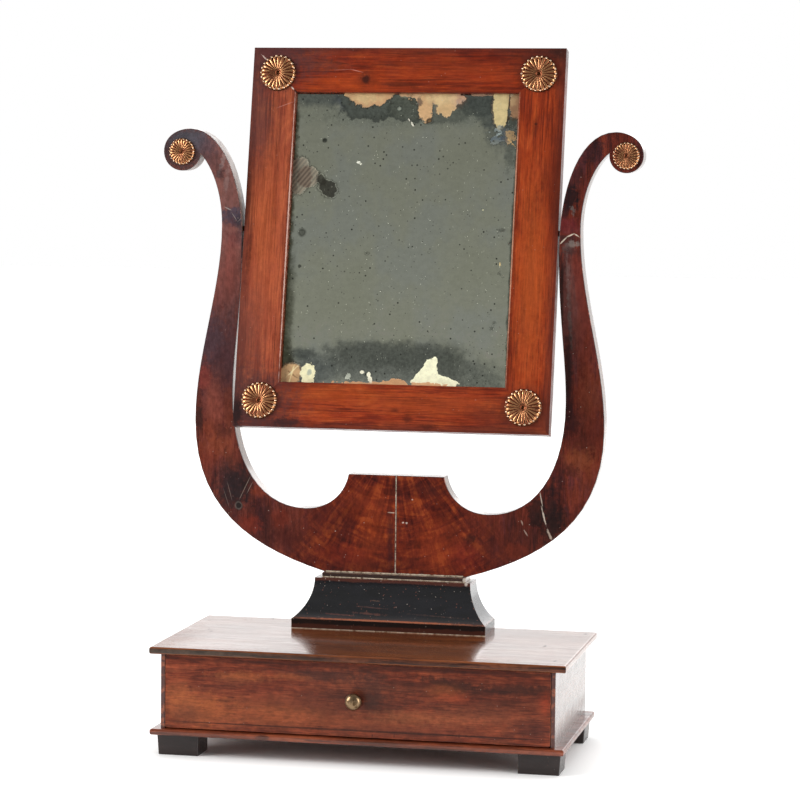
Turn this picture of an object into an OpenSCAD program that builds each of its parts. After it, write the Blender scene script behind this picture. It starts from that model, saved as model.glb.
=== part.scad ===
// Dressing table mirror: a framed mirror tilts between the arms of a lyre,
// which stands on a coved plinth at the back of a shallow box with one drawer.
// X runs along the box, Y from front to back, Z up from the floor. Millimetres.

/* [Box] */
// Length of the box between the outer faces of its ends
box_w = 408; // [340:2:480]
// Depth of the box from the drawer's face to the outer face of the back
box_d = 208; // [170:2:260]
// Height of the box between its two boards
box_h = 77; // [55:1:110]
// Thickness of the box's ends
end_t = 4; // [3:0.5:9]
// Thickness of the box's back
back_t = 6; // [4:0.5:10]
// Thickness of the top board
top_t = 7.5; // [6:0.5:12]
// How far the top board stands past the box at each end
top_end_lap = 11; // [4:0.5:20]
// How far the top board stands past the drawer's face
top_front_lap = 6; // [2:0.5:14]
// How far the top board stands past the back
top_back_lap = 3; // [0:0.5:8]
// Thickness of the bottom board
bottom_t = 6.5; // [5:0.5:12]
// How far the bottom board stands past the box at each end
bottom_end_lap = 10; // [4:0.5:20]
// How far the bottom board stands past the drawer's face
bottom_front_lap = 6.5; // [2:0.5:14]
// Radius worn on the exposed edges of both boards
board_round = 2.2; // [0.5:0.1:2.9]
// Diameter of the brads that hold the boards to the box
brad_d = 1.8; // [1:0.1:2.2]
// Length of those brads
brad_len = 20; // [14:1:30]
// Brads along each end of the box
brads_per_end = 3; // [2:1:5]

/* [Feet] */
// Height of the block feet
foot_h = 22; // [12:1:40]
// Width of a foot along the box
foot_w = 43.5; // [24:0.5:60]
// Depth of a foot
foot_d = 36; // [24:0.5:60]
// How far a foot stands in from the end of the bottom board
foot_end_inset = 4.5; // [1:0.5:20]
// How far a front foot stands in from the front of the bottom board
foot_front_inset = 12; // [2:0.5:24]
// How much narrower a foot is at the floor, on its outer side
foot_taper = 1.6; // [0:0.2:4]
// Diameter of the dowel in each foot
foot_dowel_d = 9; // [6:0.5:14]
// How far that dowel goes down into the foot
foot_dowel_len = 11; // [6:0.5:11]

/* [Drawer] */
// Gap between the drawer's front and each end of the box
front_side_gap = 0.6; // [0.3:0.1:1.5]
// Gap under the drawer's front
front_under_gap = 1.1; // [0.5:0.1:2]
// Gap over the drawer's front
front_over_gap = 0.8; // [0.4:0.1:2]
// Thickness of the drawer's front
front_t = 14; // [11:0.5:18]
// Radius worn on the corners of the drawer's front
front_round = 2; // [0.5:0.1:4]
// Gap between the drawer and the back of the box, which stops it
drawer_end_gap = 0.5; // [0.3:0.1:20]
// Thickness of the drawer's sides and back
drawer_wall = 6; // [5:0.5:9]
// Gap between a drawer side and the box's end
drawer_side_gap = 0.9; // [0.5:0.1:2]
// Gap under the drawer's sides, where they run on the bottom board
runner_gap = 0.2; // [0.1:0.05:0.5]
// How much lower the drawer's sides are than the inside of the box
drawer_headroom = 4; // [2:0.5:10]
// Thickness of the drawer's bottom
drawer_bottom_t = 3.5; // [3:0.5:6]
// Height of the drawer's bottom above the lower edge of its sides
drawer_bottom_lift = 4; // [3:0.5:8]
// Depth of the groove that the drawer's bottom sits in
groove_d = 2.5; // [1.5:0.5:4]
// Length of the lapped tails in the drawer's front
tail_len = 9; // [6:0.5:10]
// Tails at each corner of the drawer
tails = 3; // [2:1:4]
// Clearance all round each tail in its socket
tail_gap = 0.1; // [0.05:0.05:0.2]
// Diameter of the knob
knob_d = 17.5; // [12:0.5:26]
// How far the knob stands out from the drawer's face
knob_len = 15; // [10:0.5:24]
// Diameter of the knob's shank
shank_d = 4; // [3:0.5:6]
// Width of the knob's nut across its corners
nut_d = 10; // [8:0.5:14]
// Thickness of that nut
nut_t = 3; // [2:0.5:4]

/* [Plinth] */
// Length of the plinth's base
plinth_w = 210; // [190:1:260]
// Depth of the plinth's base
plinth_d = 57; // [48:1:80]
// Height of the plinth's base strip
plinth_base_h = 10.5; // [5:0.5:20]
// Height of the coved block
cove_h = 42; // [30:1:60]
// How far the cove draws in, at its front and ends
cove_in = 20; // [8:0.5:22]
// How much the base strip stands past the foot of the cove
base_step = 0.5; // [0.5:0.5:3]
// Thickness of the cap
cap_t = 4.5; // [3:0.5:8]
// How far the cap stands back from the top edges of the cove
cap_step = 6.5; // [3:0.5:9]
// Diameter of the screws that hold the plinth
screw_d = 4; // [3:0.5:5]
// Length of those screws
screw_len = 34; // [26:1:40]
// Distance between the two plinth screws
screw_span = 130; // [100:2:160]

/* [Lyre] */
// Thickness of the lyre's core
core_t = 20; // [16:0.5:28]
// Thickness of the veneer on the lyre's face
veneer_t = 1.5; // [0.8:0.1:2.5]
// Width of the open joint between the two veneers
crack_w = 1; // [0.4:0.1:2]
// How far the lyre's foot stands in from each end of the cap
lyre_foot_inset = 0.5; // [0:0.5:6]
// Width of the crest between the two hollows
crest_w = 104; // [80:1:120]
// Height of the crest above the cap
crest_h = 106; // [95:1:118]
// Height of the lowest point of each hollow above the cap
hollow_h = 67.5; // [55:0.5:80]
// Distance from the middle to the lowest point of each hollow
hollow_x = 100; // [90:1:110]
// Width of the lyre across its belly
belly_w = 445; // [430:1:470]
// Height of the belly's widest point above the cap
belly_h = 160; // [150:1:175]
// Width of an arm at the belly
belly_arm = 41.3; // [30:0.1:46]
// Width of an arm at the waist, where the mirror hangs
waist_arm = 22.5; // [20:0.5:30]
// Height of the mirror's pivots above the cap
pivot_h = 366; // [350:1:380]
// Distance from the middle to the outermost point of a scroll
scroll_reach = 259; // [250:1:275]
// Height of the scrolls' centres above the cap
scroll_h = 448; // [436:1:460]
// How far the arm passes over the scroll's centre
scroll_rise = 24.5; // [22:0.5:28]
// How far the foot's outline runs outwards before it climbs
foot_sweep = 85; // [70:1:95]
// Height of the foot's outline at the end of that run
foot_sweep_h = 24; // [10:1:40]
// Length over which the belly's outer edge stays upright below its widest point
belly_hold = 95; // [60:1:110]
// Length over which an arm's edges stay upright above the belly and below the waist
arm_hold = 70; // [50:1:90]
// Length over which a bowl's inner edge stays upright below its widest point
bowl_hold = 76; // [50:1:90]
// Length over which a hollow's lowest edge stays level towards the bowl
hollow_hold = 48; // [30:1:60]
// Radius of the left scroll
scroll_r_left = 20.5; // [17:0.5:22]
// Radius of the right scroll, which is worn smaller
scroll_r_right = 18; // [17:0.5:22]
// Diameter of the dowels across the joint of the two halves
joint_dowel_d = 8; // [6:0.5:10]
// Length of those dowels
joint_dowel_len = 40; // [30:1:50]
// Diameter of the dowels from the lyre into the plinth
stand_dowel_d = 9; // [6:0.5:12]
// Length of those dowels
stand_dowel_len = 64; // [50:1:70]
// Distance between the two plinth dowels
stand_dowel_span = 90; // [70:2:110]

/* [Mirror] */
// Width of the mirror's frame
frame_w = 340; // [320:1:356]
// Height of the mirror's frame
frame_h = 411; // [380:1:420]
// Distance from the pivots down to the frame's lower edge
frame_below = 214; // [195:1:225]
// Width of the frame's rails on the face
rail_w = 48.5; // [40:0.5:60]
// Thickness of the frame
frame_t = 16; // [13:0.5:20]
// Thickness of the lip in front of the glass
lip_t = 5.5; // [3:0.5:6]
// Width of the rebate behind the lip
rebate_w = 7; // [5:0.5:10]
// Thickness of the mirror glass
glass_t = 3; // [2:0.5:4]
// Thickness of the board behind the glass
backboard_t = 4; // [3:0.5:4.5]
// Gap round the glass and its backboard in the rebate
pane_gap = 0.8; // [0.3:0.1:1.5]
// Gap between the frame and each arm of the lyre
arm_gap = 1.5; // [0.8:0.1:4]
// Diameter of the pivot pins
pivot_d = 6; // [4:0.5:8]
// Length of a pivot pin inside the frame
pivot_in_frame = 22; // [14:1:30]
// Length of a pivot pin inside the arm
pivot_in_arm = 15; // [10:0.5:17]
// Running clearance all round a pivot pin
pin_gap = 0.05; // [0.02:0.01:0.09]
// How far the mirror leans back as it stands
tilt = 11.5; // [0:0.5:20]
// Diameter of the sprigs behind the backboard
sprig_d = 1.4; // [1:0.1:2]
// Length of those sprigs
sprig_len = 13; // [10:0.5:16]

/* [Rosettes] */
// Diameter of the rosettes on the mirror's frame
frame_rosette_d = 40; // [30:0.5:46]
// Diameter of the rosettes on the scrolls
scroll_rosette_d = 29; // [22:0.5:32]
// Height of a rosette as a share of its radius
rosette_rise = 0.27; // [0.15:0.01:0.4]
// Petals of a rosette
petals = 22; // [12:1:26]
// Distance from a frame rosette's centre to the frame's edges
rosette_inset = 28; // [24:0.5:32]
// Diameter of a rosette pin's shank
rosette_pin_d = 2; // [1.2:0.1:2.6]
// How far a rosette pin goes into the wood
rosette_pin_len = 7; // [4:0.5:9]

/* [Hidden] */
// Small gap that keeps a seated piece free of its seat
seat = 0.1;
// Clearance round fixed pins, brads and dowels in their holes
fit = 0.05;
// Depth that a cut runs past a face
past = 1;
$fn = 48;

// Heights of the boards, the plinth and the lyre
bottom_z = foot_h;
floor_z = bottom_z + bottom_t;
top_z = floor_z + box_h;
plinth_z = top_z + top_t;
cove_z = plinth_z + plinth_base_h;
cap_z = cove_z + cove_h;
lyre_z = cap_z + cap_t;
pivot_z = lyre_z + pivot_h;

// The mirror's pivot is in the middle of the lyre's thickness
lyre_t = core_t + veneer_t;
frame_above = frame_h - frame_below;
pivot_behind = lyre_t / 2;

// The origin is under the middle of the whole object, from knob to leaning frame
lean_back = frame_above * sin(tilt) + frame_t / 2 * cos(tilt);
all_d = knob_len + box_d - pivot_behind + lean_back;
face_y = knob_len - all_d / 2;
back_y = face_y + box_d;
plinth_back_y = back_y;
lyre_back_y = plinth_back_y;
core_front_y = lyre_back_y - core_t;
lyre_front_y = core_front_y - veneer_t;
pivot_y = lyre_back_y - pivot_behind;

// Half the lengths of the plinth's block, its top, its cap and the lyre's foot
cove_half = plinth_w / 2 - base_step;
cove_top_half = cove_half - cove_in;
cap_half = cove_top_half - cap_step;
foot_half = cap_half - lyre_foot_inset;

// Lyre outline points for the right half, from the middle and the cap
belly_out = belly_w / 2;
belly_in = belly_out - belly_arm;
hollow_wide_h = belly_h + 28;
waist_in = frame_w / 2 + arm_gap;
waist_out = waist_in + waist_arm;
waist_in_h = pivot_h - 14;
waist_out_h = pivot_h + 4;
scroll_top_x = scroll_reach - 29.5;
scroll_top_h = scroll_h + scroll_rise;
curl_x = scroll_reach - 31;
curl_h = scroll_h + 6;
curve_steps = 14;

// A point on a cubic curve, and the curve's points without its last one
function cubic(a, b, c, d, t) =
    pow(1 - t, 3) * a + 3 * t * pow(1 - t, 2) * b + 3 * t * t * (1 - t) * c + t * t * t * d;
function curve(a, b, c, d) = [for (i = [0 : curve_steps - 1]) cubic(a, b, c, d, i / curve_steps)];

// Outer edge of an arm, from the cap up to the scroll
arm_outer = concat(
    curve([foot_half, 0], [foot_half + foot_sweep, foot_sweep_h], [belly_out, belly_h - belly_hold],
        [belly_out, belly_h]),
    curve([belly_out, belly_h], [belly_out, belly_h + arm_hold], [waist_out, waist_out_h - arm_hold],
        [waist_out, waist_out_h]),
    curve([waist_out, waist_out_h], [waist_out, waist_out_h + 38], [waist_out + 14, curl_h - 12],
        [curl_x, curl_h]),
    [[curl_x, curl_h]]);

// Inner edge of an arm, from the scroll's outer side over its top and down to the crest
arm_inner = concat(
    curve([scroll_reach, scroll_h], [scroll_reach, scroll_h + 16], [scroll_top_x + 15, scroll_top_h],
        [scroll_top_x, scroll_top_h]),
    curve([scroll_top_x, scroll_top_h], [scroll_top_x - 38, scroll_top_h], [waist_in, waist_in_h + 61],
        [waist_in, waist_in_h]),
    curve([waist_in, waist_in_h], [waist_in, waist_in_h - arm_hold], [belly_in, hollow_wide_h + 45],
        [belly_in, hollow_wide_h]),
    curve([belly_in, hollow_wide_h], [belly_in, hollow_wide_h - bowl_hold],
        [hollow_x + hollow_hold, hollow_h],
        [hollow_x, hollow_h]),
    curve([hollow_x, hollow_h], [hollow_x - 26, hollow_h], [crest_w / 2 + 4, crest_h - 22],
        [crest_w / 2, crest_h]),
    [[crest_w / 2, crest_h]]);

// Drawer places
drawer_len = box_d - back_t - drawer_end_gap;
drawer_out_w = box_w - 2 * (end_t + drawer_side_gap);
drawer_z = floor_z + runner_gap;
drawer_h = box_h - runner_gap - drawer_headroom;
drawer_back_y = face_y + drawer_len;
side_front_y = face_y + front_t;
front_w = box_w - 2 * (end_t + front_side_gap);
front_h = box_h - front_under_gap - front_over_gap;
front_z = floor_z + front_under_gap;
tail_pitch = drawer_h / tails;
tail_wide = tail_pitch * 0.62;
tail_narrow = tail_pitch * 0.46;
knob_z = front_z + front_h / 2;
drawer_bottom_z = drawer_z + drawer_bottom_lift;

// Mirror frame places, measured from the pivot line before the frame leans
frame_mid = frame_above - frame_h / 2;
frame_face = -frame_t / 2;
glass_y = frame_face + lip_t;
backboard_y = glass_y + glass_t;
backboard_back = backboard_y + backboard_t;
pane_w = frame_w - 2 * (rail_w - rebate_w + pane_gap);
pane_h = frame_h - 2 * (rail_w - rebate_w + pane_gap);
rosette_x = frame_w / 2 - rosette_inset;
rosette_z = frame_h / 2 - rosette_inset;
sprig_y = backboard_back + sprig_d / 2 + seat;
sprigs_across = 2;
sprigs_up = 3;

// Feet places
foot_x = box_w / 2 + bottom_end_lap - foot_end_inset - foot_w / 2;
front_foot_y = face_y - bottom_front_lap + foot_front_inset + foot_d / 2;
rear_foot_y = back_y - foot_d / 2;

mahogany = "#8a4028";
flame = "#7a3020";
ebony = "#2a2829";
pine = "#c8a878";
gilt = "#d8a050";
iron = "#5a5450";
silvered = "#aab2ac";

// Points of a round stretch, by centre, radius and the angles where it starts and ends
function arc(c, r, from, to, n) =
    [for (i = [0 : n]) c + r * [cos(from + (to - from) * i / n), sin(from + (to - from) * i / n)]];

// A block by its ranges along the three axes
module block(x, y, z) {
    translate([x[0], y[0], z[0]])
        cube([x[1] - x[0], y[1] - y[0], z[1] - z[0]]);
}

// A flat shape in X and Z, given thickness from back_at towards the front
module plate(back_at, thick) {
    translate([0, back_at, 0])
        rotate([90, 0, 0])
            linear_extrude(thick) children();
}

// A solid along X whose cross-section is a flat shape in Y and Z
module bar(from, to) {
    translate([from, 0, 0])
        rotate([90, 0, 90])
            linear_extrude(to - from) children();
}

// A round rod by its start, its direction as a turn, and its length
module rod(start, turn, d, length) {
    translate(start)
        rotate(turn)
            cylinder(d = d, h = length);
}

// A board with rounded edges in front and at both ends, and a square back
module board(half_w, y, z) {
    r = board_round;
    intersection() {
        plate(y[1], y[1] - y[0])
            polygon(concat(
                arc([half_w - r, z[0] + r], r, -90, 0, 4), arc([half_w - r, z[1] - r], r, 0, 90, 4),
                arc([-half_w + r, z[1] - r], r, 90, 180, 4), arc([-half_w + r, z[0] + r], r, 180, 270, 4)));
        bar(-half_w - past, half_w + past)
            polygon(concat(
                arc([y[0] + r, z[1] - r], r, 90, 180, 4), arc([y[0] + r, z[0] + r], r, 180, 270, 4),
                [[y[1], z[0]], [y[1], z[1]]]));
    }
}

// Where the brads go: along each end, and along the back between them
brad_x = box_w / 2 - end_t / 2;
brad_back_y = back_y - back_t / 2;
brad_places = concat(
    [for (side = [-1, 1], i = [0 : brads_per_end - 1])
        [side * brad_x, face_y + box_d * (i + 0.5) / brads_per_end]],
    [for (side = [-1, 0, 1]) [side * box_w * 0.34, brad_back_y]]);

module brads(z, d, extra) {
    for (p = brad_places) translate([p[0], p[1], z - extra]) cylinder(d = d, h = brad_len + 2 * extra);
}
top_brad_z = plinth_z - brad_len - seat;
bottom_brad_z = bottom_z + seat;

module top_board() {
    color(mahogany)
        difference() {
            board(box_w / 2 + top_end_lap, [face_y - top_front_lap, back_y + top_back_lap],
                [top_z, plinth_z]);
            brads(top_brad_z, brad_d + 2 * fit, past);
            screw_holes();
        }
}

module bottom_board() {
    color(mahogany)
        difference() {
            board(box_w / 2 + bottom_end_lap, [face_y - bottom_front_lap, back_y],
                [bottom_z, floor_z]);
            brads(bottom_brad_z, brad_d + 2 * fit, past);
            foot_dowel_set(foot_dowel_d + 2 * fit, past);
        }
}

module box_end(side) {
    color(mahogany)
        difference() {
            translate([side * (box_w / 2 - end_t / 2), 0, 0])
                block([-end_t / 2, end_t / 2], [face_y, back_y], [floor_z, top_z]);
            brads(top_brad_z, brad_d + 2 * fit, fit);
            brads(bottom_brad_z, brad_d + 2 * fit, fit);
        }
}

module box_left_end() { box_end(-1); }
module box_right_end() { box_end(1); }

module box_back() {
    color(pine)
        difference() {
            block([-box_w / 2 + end_t, box_w / 2 - end_t], [back_y - back_t, back_y], [floor_z, top_z]);
            brads(top_brad_z, brad_d + 2 * fit, fit);
            brads(bottom_brad_z, brad_d + 2 * fit, fit);
        }
}

module top_brads() { color(iron) brads(top_brad_z, brad_d, 0); }
module bottom_brads() { color(iron) brads(bottom_brad_z, brad_d, 0); }

// Feet are blocks that narrow a little towards the floor on the outer side
module foot(side, y) {
    color(ebony)
        difference() {
            translate([side * foot_x, 0, 0])
                mirror([side < 0 ? 1 : 0, 0, 0])
                    plate(y + foot_d / 2, foot_d)
                        polygon([[-foot_w / 2, 0], [foot_w / 2 - foot_taper, 0],
                            [foot_w / 2, foot_h], [-foot_w / 2, foot_h]]);
            foot_dowel_set(foot_dowel_d + 2 * fit, fit);
        }
}

module foot_dowel_set(d, extra) {
    for (side = [-1, 1], y = [front_foot_y, rear_foot_y])
        rod([side * foot_x, y, foot_h - foot_dowel_len - extra], [0, 0, 0], d,
            foot_dowel_len + bottom_t / 2 + 2 * extra);
}

module front_left_foot() { foot(-1, front_foot_y); }
module front_right_foot() { foot(1, front_foot_y); }
module rear_left_foot() { foot(-1, rear_foot_y); }
module rear_right_foot() { foot(1, rear_foot_y); }
module foot_dowels() { color(pine) foot_dowel_set(foot_dowel_d, 0); }

// The plinth: a base strip, a block coved at its front and ends, and a cap
cove_front_y = plinth_back_y - plinth_d + base_step;
cap_front_y = cove_front_y + cove_in + cap_step;
// Radius of the cove, which leaves the top edge upright and meets the base strip
cove_r = (cove_in * cove_in + cove_h * cove_h) / (2 * cove_in);
cove_turn = asin(cove_h / cove_r);

module plinth_base() {
    color(ebony)
        difference() {
            block([-plinth_w / 2, plinth_w / 2], [plinth_back_y - plinth_d, plinth_back_y],
                [plinth_z, cove_z]);
            screw_holes();
        }
}

// One coved side from its foot to its top, drawing in from the given edge
function cove(edge, z) =
    [for (i = [0 : 12]) let (a = cove_turn * (1 - i / 12))
        [edge - cove_in + cove_r * (1 - cos(a)), z + cove_h - cove_r * sin(a)]];
function flipped(list) = [for (i = [len(list) - 1 : -1 : 0]) [-list[i][0], list[i][1]]];

module plinth_cove() {
    side = cove(cove_half, cove_z);
    front = [for (p = flipped(cove(0, cove_z))) [p[0] + cove_front_y, p[1]]];
    color(ebony)
        difference() {
            intersection() {
                plate(plinth_back_y, plinth_d)
                    polygon(concat(side, flipped(side)));
                bar(-plinth_w / 2, plinth_w / 2)
                    polygon(concat(front, [[plinth_back_y, cove_z], [plinth_back_y, cap_z]]));
            }
            screw_holes();
            stand_dowels(stand_dowel_d + 2 * fit, fit);
        }
}

module plinth_cap() {
    color(ebony)
        difference() {
            block([-cap_half, cap_half], [cap_front_y, plinth_back_y], [cap_z, lyre_z]);
            stand_dowels(stand_dowel_d + 2 * fit, fit);
        }
}

// Screws go up through the top board into the plinth, with their heads sunk under the board
screw_y = plinth_back_y - plinth_d / 2 + 4;
head_h = screw_d * 0.55;
module screw(d, extra) {
    cylinder(d = d, h = screw_len + extra);
    translate([0, 0, -extra])
        cylinder(d1 = d + screw_d + 2 * extra, d2 = d, h = head_h + 2 * extra);
}
module screw_set(d, extra) {
    for (side = [-1, 1]) translate([side * screw_span / 2, screw_y, top_z + seat]) screw(d, extra);
}
module screw_holes() { screw_set(screw_d + 2 * fit, 2 * fit); }
module plinth_screws() { color(iron) screw_set(screw_d, 0); }

// Half of the lyre's face, right of the middle
module lyre_half_shape(scroll_r, from_middle) {
    polygon(concat([[from_middle, 0]], arm_outer, [[scroll_reach - scroll_r, scroll_h]], arm_inner,
        [[from_middle, crest_h]]));
    translate([scroll_reach - scroll_r, scroll_h])
        circle(r = scroll_r);
}

module lyre_half(side, scroll_r, back_at, thick, from_middle) {
    translate([0, 0, lyre_z])
        mirror([side < 0 ? 1 : 0, 0, 0])
            plate(back_at, thick)
                lyre_half_shape(scroll_r, from_middle);
}

module lyre_core(side, scroll_r) {
    color(flame)
        difference() {
            lyre_half(side, scroll_r, lyre_back_y, core_t, 0);
            joint_dowels(joint_dowel_d + 2 * fit, fit);
            stand_dowels(stand_dowel_d + 2 * fit, fit);
            pivot_holes();
            scroll_pin_holes();
        }
}

module lyre_face(side, scroll_r) {
    color(flame)
        difference() {
            lyre_half(side, scroll_r, core_front_y, veneer_t, crack_w / 2);
            scroll_pin_holes();
        }
}

module lyre_left_half() { lyre_core(-1, scroll_r_left); }
module lyre_right_half() { lyre_core(1, scroll_r_right); }
module lyre_left_veneer() { lyre_face(-1, scroll_r_left); }
module lyre_right_veneer() { lyre_face(1, scroll_r_right); }

dowel_y = lyre_back_y - core_t / 2;
module joint_dowels(d, extra) {
    for (h = [crest_h * 0.3, crest_h * 0.75])
        rod([-joint_dowel_len / 2 - extra, dowel_y, lyre_z + h], [0, 90, 0], d,
            joint_dowel_len + 2 * extra);
}
module stand_dowels(d, extra) {
    for (side = [-1, 1])
        rod([side * stand_dowel_span / 2, dowel_y, lyre_z - stand_dowel_len / 2 - extra], [0, 0, 0], d,
            stand_dowel_len + 2 * extra);
}
module lyre_joint_dowels() { color(pine) joint_dowels(joint_dowel_d, 0); }
module lyre_stand_dowels() { color(pine) stand_dowels(stand_dowel_d, 0); }

// A rosette's rings, from the pin hole outwards: radius and height on a ridge, then in a groove
function rings(r, hole) = let (h = r * rosette_rise) [
    [hole, 0, hole, 0], [hole, 0.3 * h, hole, 0.3 * h], [0.16 * r, 0.62 * h, 0.16 * r, 0.5 * h],
    [0.36 * r, h, 0.36 * r, 0.78 * h], [0.66 * r, 0.92 * h, 0.66 * r, 0.58 * h],
    [0.9 * r, 0.55 * h, 0.88 * r, 0.22 * h], [r, 0.16 * h, 0.94 * r, 0.06 * h], [0.99 * r, 0, 0.93 * r, 0]];

// A fluted rosette that faces the front, with its flat back on the given plane
module rosette(d) {
    ring = rings(d / 2, rosette_pin_d / 2 + fit);
    rows = len(ring);
    n = 2 * petals;
    points = [for (k = [0 : rows - 1], i = [0 : n - 1])
        let (groove = i % 2, r = ring[k][2 * groove], a = 360 * i / n)
        [r * cos(a), -ring[k][2 * groove + 1], r * sin(a)]];
    faces = [for (k = [0 : rows - 1], i = [0 : n - 1])
        let (j = (i + 1) % n, up = (k + 1) % rows)
        each [[k * n + i, k * n + j, up * n + j], [k * n + i, up * n + j, up * n + i]]];
    polyhedron(points, faces);
}

// A pin with a domed head that sits in the rosette's hollow
module rosette_pin(d) {
    rise = d / 2 * rosette_rise * 0.3 + 4 * seat;
    rod([0, rosette_pin_len, 0], [90, 0, 0], rosette_pin_d, rosette_pin_len + rise);
    translate([0, -rise, 0])
        rotate([90, 0, 0])
            cylinder(d1 = rosette_pin_d * 1.25, d2 = rosette_pin_d * 0.7, h = rosette_pin_d * 0.4);
}

module pin_hole() {
    rod([0, rosette_pin_len + fit, 0], [90, 0, 0], rosette_pin_d + 2 * fit, rosette_pin_len + past);
}

scroll_spots = [[-scroll_reach + scroll_r_left, lyre_z + scroll_h],
    [scroll_reach - scroll_r_right, lyre_z + scroll_h]];
module at_scroll(i) { translate([scroll_spots[i][0], lyre_front_y, scroll_spots[i][1]]) children(); }
module scroll_pin_holes() { for (i = [0, 1]) at_scroll(i) pin_hole(); }
module scroll_rosette(i) {
    color(gilt) at_scroll(i) translate([0, -seat, 0]) rosette(scroll_rosette_d);
}
module scroll_rosette_left() { scroll_rosette(0); }
module scroll_rosette_right() { scroll_rosette(1); }
module scroll_rosette_pins() { color(gilt) for (i = [0, 1]) at_scroll(i) rosette_pin(scroll_rosette_d); }

// Places a piece of the mirror, which is drawn upright round the pivot line
module hung() {
    translate([0, pivot_y, pivot_z])
        rotate([-tilt, 0, 0]) children();
}

// The rail's section, from its outer edge inwards and from the face back
module rail_section() {
    polygon([[frame_face, 0], [frame_face, -rail_w], [glass_y, -rail_w], [glass_y, rebate_w - rail_w],
        [-frame_face, rebate_w - rail_w], [-frame_face, 0]]);
}

// A mitred rail of the given length, its outer edge at the given distance from the frame's middle
module rail(turn, length, out) {
    color(mahogany) hung()
        difference() {
            translate([0, 0, frame_mid])
                rotate([0, turn, 0])
                    translate([0, 0, out])
                        intersection() {
                            bar(-length / 2, length / 2) rail_section();
                            plate(frame_t, 2 * frame_t)
                                polygon([[-length / 2, 0], [length / 2, 0],
                                    [length / 2 - rail_w, -rail_w], [rail_w - length / 2, -rail_w]]);
                        }
            for (x = [-1, 1], z = [-1, 1]) at_corner(x, z) pin_hole();
            for (side = [-1, 1]) pivot_pin_shape(side, pivot_d + 2 * fit, fit);
            sprigs(sprig_d + 2 * fit, fit);
        }
}

module at_corner(x, z) { translate([x * rosette_x, frame_face, frame_mid + z * rosette_z]) children(); }

module frame_top_rail() { rail(0, frame_w, frame_h / 2); }
module frame_bottom_rail() { rail(180, frame_w, frame_h / 2); }
module frame_left_stile() { rail(-90, frame_h, frame_w / 2); }
module frame_right_stile() { rail(90, frame_h, frame_w / 2); }

module pane(front, thick) {
    hung()
        block([-pane_w / 2, pane_w / 2], [front, front + thick],
            [frame_mid - pane_h / 2, frame_mid + pane_h / 2]);
}
module mirror_glass() { color(silvered) pane(glass_y, glass_t); }
module mirror_backboard() { color(pine) pane(backboard_y, backboard_t); }

// Sprigs stand in the rebate's walls and lie across the edge of the backboard
module sprig_row(half, turn, offsets, d, extra) {
    rotate([0, turn, 0])
        for (along = offsets)
            rod([along, sprig_y, half - sprig_len / 2 - extra], [0, 0, 0], d, sprig_len + 2 * extra);
}
module sprigs(d, extra) {
    across = [for (i = [0 : sprigs_across - 1]) pane_w * ((i + 0.5) / sprigs_across - 0.5)];
    up = [for (i = [0 : sprigs_up - 1]) pane_h * ((i + 0.5) / sprigs_up - 0.5)];
    wall_x = pane_w / 2 + pane_gap;
    wall_z = pane_h / 2 + pane_gap;
    translate([0, 0, frame_mid]) {
        for (turn = [0, 180]) sprig_row(wall_z, turn, across, d, extra);
        for (turn = [90, -90]) sprig_row(wall_x, turn, up, d, extra);
    }
}
module backboard_sprigs() { color(iron) hung() sprigs(sprig_d, 0); }

module corner_rosette(x, z) {
    color(gilt) hung() at_corner(x, z) translate([0, -seat, 0]) rosette(frame_rosette_d);
}
module rosette_top_left() { corner_rosette(-1, 1); }
module rosette_top_right() { corner_rosette(1, 1); }
module rosette_bottom_left() { corner_rosette(-1, -1); }
module rosette_bottom_right() { corner_rosette(1, -1); }
module frame_rosette_pins() {
    color(gilt) hung()
        for (x = [-1, 1], z = [-1, 1]) at_corner(x, z) rosette_pin(frame_rosette_d);
}

// Each pivot pin is fixed in a stile and turns in the lyre's arm
pivot_start = frame_w / 2 - pivot_in_frame;
pivot_len = pivot_in_frame + arm_gap + pivot_in_arm;
module pivot_pin_shape(side, d, extra) {
    rotate([0, 90 * side, 0])
        translate([0, 0, pivot_start - extra]) cylinder(d = d, h = pivot_len + 2 * extra);
}
module pivot_holes() {
    translate([0, pivot_y, pivot_z])
        for (side = [-1, 1]) pivot_pin_shape(side, pivot_d + 2 * pin_gap, seat);
}
module pivot_pin_left() { color(iron) hung() pivot_pin_shape(-1, pivot_d, 0); }
module pivot_pin_right() { color(iron) hung() pivot_pin_shape(1, pivot_d, 0); }

// Tails of a drawer side in Y and Z, from their narrow roots to their wide ends, which a socket
// carries on by some extra length at the same slope
module tail_shapes(narrow_y, wide_y, gap, extra) {
    slope = (tail_wide - tail_narrow) / 2 / abs(wide_y - narrow_y);
    end_y = wide_y + sign(wide_y - narrow_y) * extra;
    narrow_half = tail_narrow / 2 + gap;
    wide_half = tail_wide / 2 + slope * extra + gap;
    forward = end_y < narrow_y;
    from = forward ? [end_y, wide_half] : [narrow_y, narrow_half];
    to = forward ? [narrow_y, narrow_half] : [end_y, wide_half];
    for (i = [0 : tails - 1])
        translate([0, drawer_z + tail_pitch * (i + 0.5)])
            polygon([[from[0], -from[1]], [to[0], -to[1]], [to[0], to[1]], [from[0], from[1]]]);
}

// Groove for the drawer's bottom in the sides and the front
module bottom_groove() {
    block([-drawer_out_w / 2 + drawer_wall - groove_d, drawer_out_w / 2 - drawer_wall + groove_d],
        [side_front_y - groove_d, drawer_back_y + past],
        [drawer_bottom_z, drawer_bottom_z + drawer_bottom_t]);
}

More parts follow.
